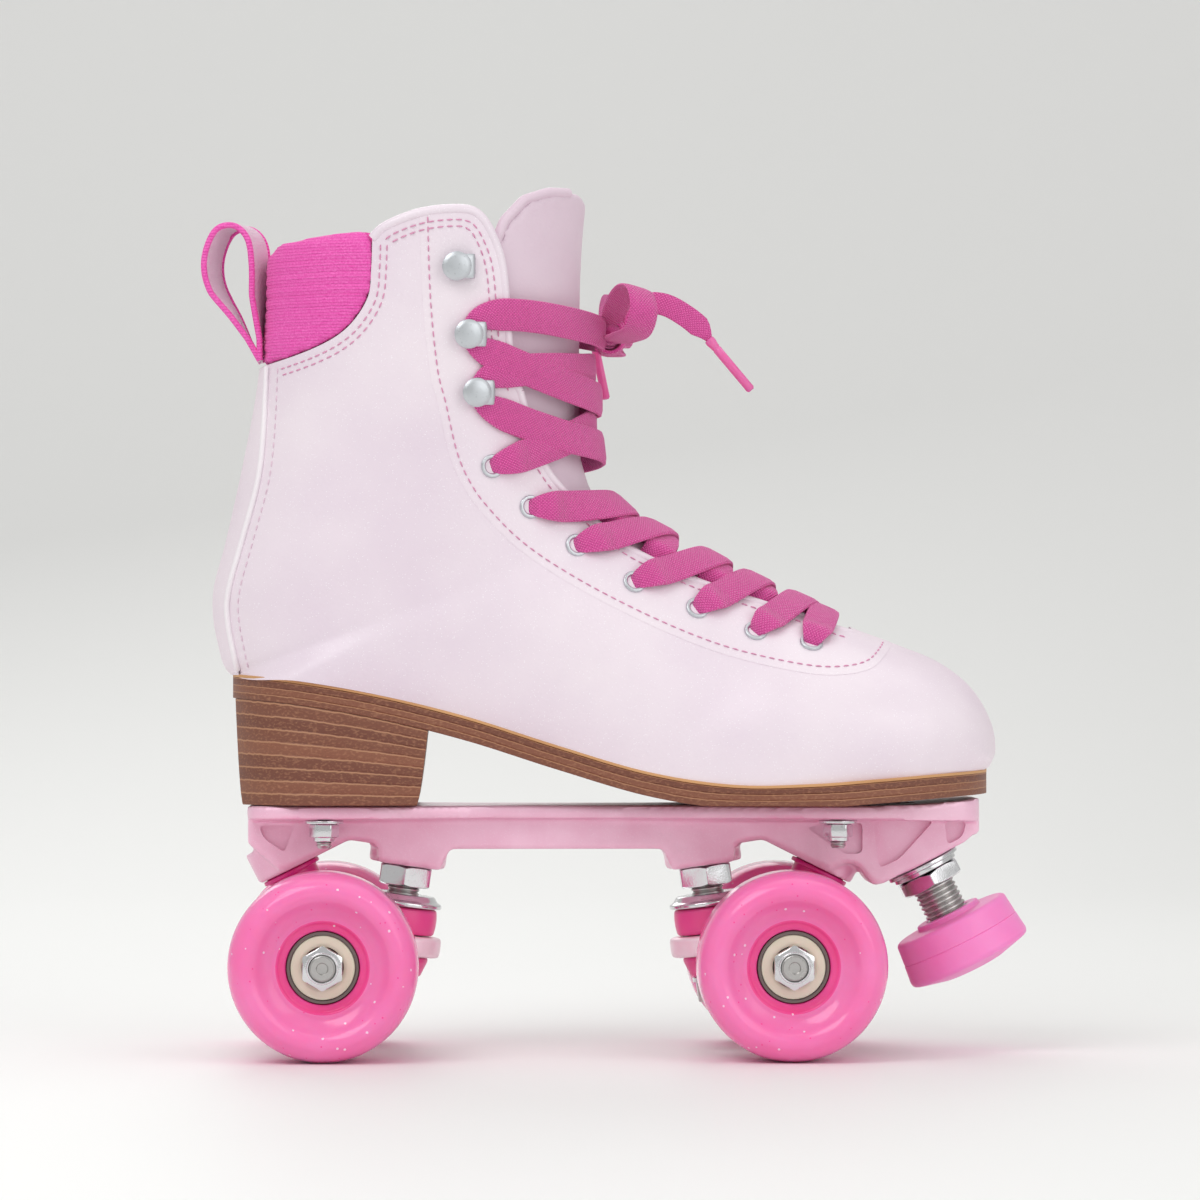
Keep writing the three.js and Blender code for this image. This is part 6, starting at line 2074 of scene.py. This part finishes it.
        smooth(hanger, 35)
        dress(hanger, self.wardrobe["cast_hanger"], f"truck_{name}", "cast_hanger", f"hanger_{name}")

    def _axle(self) -> None:
        """The axle with its threaded ends, and its two lock nuts."""
        name = self.end.value[0]
        plate, end = self.plate, self.end
        half = 54.7
        left = [(0, -half + 0.9), (1.6, -half + 0.8), (1.9, -half), (3.5, -half)]
        left += thread(4.0, 0.4, 0.9, -half + 0.5, -44.3) + [(4.0, -44)]
        profile = left + [(radius, -height) for radius, height in reversed(left)]
        bar = lathe(f"axle_bar_{name}", profile, plate.truck_point(end, (0, 0)), (0, 1, 0), 40)
        dress(bar, self.wardrobe["zinc_plate"], f"truck_{name}", "plated_steel", f"axle_{name}")
        for side in Side:
            side_name, sign = side.value
            base = plate.truck_point(end, (0, 0), sign * 48.8)
            nut = hexagon(f"wheel_nut_{name}_{side_name}", 12, 5.0, 4.1, base, (0, sign, 0), 0.4)
            dress(nut, self.wardrobe["bright_plate"], f"truck_{name}", "bright_steel", f"axle_nut_{name}_{side_name}")


# ---------------------------------------------------------------- wheels


@dataclass
class Wheel:
    """One wheel with its two bearings."""

    plate: Plate
    wardrobe: Wardrobe
    end: End
    side: Side
    core_half: float = 10.0
    seat: float = 11.2
    core_and_shade_edge: float = 14.4
    bearing_spacing: float = 12.0
    bearing_width: float = 7.0

    def build(self) -> None:
        """Makes the tyre, its core and the bearings. The core's deeper pink is partly its own colour and partly
        painted shade of the recessed hub.
        """
        end_name, (side_name, sign) = self.end.value[0], self.side.value
        name, body = f"{end_name}_{side_name}", f"roller_{end_name}_{side_name}"
        centre = self.plate.truck_point(self.end, (0, 0), sign * 39.0)
        way = (0, sign, 0)
        face = self.core_half
        edge = [(self.seat, 2.2), (self.seat, face), (13.2, face + 0.1), (14.0, face + 0.9), (15.6, face + 0.7),
                (18.4, 12.6), (20.6, 15.0), (22.4, 15.9), (24.4, 15.8), (26.6, 14.2), (28.2, 11.6), (29.0, 8.0)]
        profile = edge + [(radius, -height) for radius, height in reversed(edge)]
        rim = fillet(profile, 1.6, steps=5)
        tyre = lathe("tyre", rim, centre, way, 112)
        inside = [(9.2, -2.1), (self.seat + 0.2, -2.1), (self.seat + 0.2, 2.1), (9.2, 2.1)]
        ridge = lathe("ridge", fillet(inside, 0.3), centre, way, 64)
        wheel = merged(f"wheel_tyre_{name}", [tyre, ridge])
        dress(wheel, self.wardrobe["wheel_urethane"], body, "wheel_urethane", f"wheel_{name}")
        # faces near the hub take the deeper pink: partly the core's colour, partly painted shade of the recess
        wheel.data.materials.append(self.wardrobe["core_urethane_and_shade"])
        middle = centre * MM
        for polygon in wheel.data.polygons:
            away = polygon.center - middle
            if math.hypot(away.x, away.z) < self.core_and_shade_edge * MM:
                polygon.material_index = 1
        for which, place_on in (("inner", -1), ("outer", 1)):
            self._bearing(name, body, which, place_on, centre, Vector(way))

    def _bearing(self, name: str, body: str, which: str, place_on: int, centre: Vector, way: Vector) -> None:
        """One bearing: outer ring, shield and inner ring."""
        base = centre + way * (place_on * self.bearing_spacing - self.bearing_width) / 2
        outer = fillet([(9.9, 0), (11, 0), (11, 7), (9.9, 7)], 0.3)
        inner = fillet([(4.2, 0), (6.1, 0), (6.1, 7), (4.2, 7)], 0.3)
        shield = fillet([(6.3, 0.5), (7.4, 0.3), (9.8, 0.45), (9.8, 6.55), (7.4, 6.7), (6.3, 6.5)], 0.25)
        rings = [lathe("outer", outer, base, way), lathe("inner", inner, base, way)]
        steel = merged(f"bearing_rings_{name}_{which}", rings)
        dress(steel, self.wardrobe["ground_steel"], body, "bearing_steel", f"bearing_{name}_{which}")
        seal = lathe(f"bearing_shield_{name}_{which}", shield, base, way)
        dress(seal, self.wardrobe["shield_seal"], body, "bearing_steel", f"bearing_{name}_{which}")


# ---------------------------------------------------------------- toe stop


@dataclass
class ToeStop:
    """The toe stop: washers and jam nut on the plate, stem and rubber pad that slide."""

    plate: Plate
    wardrobe: Wardrobe
    reach: float = 19.6
    stem: float = 6.7

    def build(self) -> None:
        """Makes its four pieces."""
        plate, way = self.plate, self.plate.toe_way()
        flat = lathe("flat", fillet([(6.9, 0), (11.7, 0), (11.7, 1.2), (6.9, 1.2)], 0.25), plate.along_toe(0.3), way)
        split = lathe("split", fillet([(6.9, 0), (10.4, 0), (10.4, 1.3), (6.9, 1.3)], 0.2), plate.along_toe(1.6), way)
        washers = merged("stop_washers", [flat, split])
        dress(washers, self.wardrobe["bright_plate"], "chassis", "bright_steel", "toe_stop_washer")
        nut = hexagon("stop_jam_nut", 19.3, 4.8, 6.9, plate.along_toe(3.2), way)
        dress(nut, self.wardrobe["bright_plate"], "chassis", "bright_steel", "toe_stop_nut")
        stem = [(0, -15), (self.stem - 1, -15)] + thread(self.stem, 0.7, 1.6, -14.6, 19.4)
        stem += [(self.stem - 0.6, 30.8), (0, 30.8)]
        bar = lathe("stop_stem", stem, plate.along_toe(0), way, 48)
        dress(bar, self.wardrobe["zinc_plate"], "toe_stop", "plated_steel", "toe_stop_stem")
        side = [(6.9, -2), (10.4, -2), (10.6, -0.2), (17.6, 0), (18.7, 0.8), (19.3, 6.9), (19.05, 7.1), (19.4, 7.3),
                (20.1, 13.2), (19.6, 14.4), (18.2, 14.9), (10, 17), (0.0, 17.7)]
        pad = fillet([(0, 11.5), (6.9, 11.5)] + side, 0.6, closed=False)
        rubber = lathe("stop_pad", pad, plate.along_toe(self.reach), way, 96)
        dress(rubber, self.wardrobe["stop_rubber"], "toe_stop", "stop_rubber", "toe_stop_pad")


def main() -> None:
    """Builds the skate in order: camera and laces first, then boot, sole, plate, trucks, wheels, toe stop."""
    logging.basicConfig(level=logging.INFO, format="%(message)s")
    wardrobe = Wardrobe()
    skin = Skin()
    Studio().build()
    Laces(skin, wardrobe).build()
    Boot(skin, wardrobe).build()
    Sole(skin, wardrobe).build()
    plate = Plate(wardrobe)
    plate.build()
    for end in End:
        Truck(plate, wardrobe, end).build()
        for side in Side:
            Wheel(plate, wardrobe, end, side).build()
    ToeStop(plate, wardrobe).build()


if __name__ == "__main__":
    main()
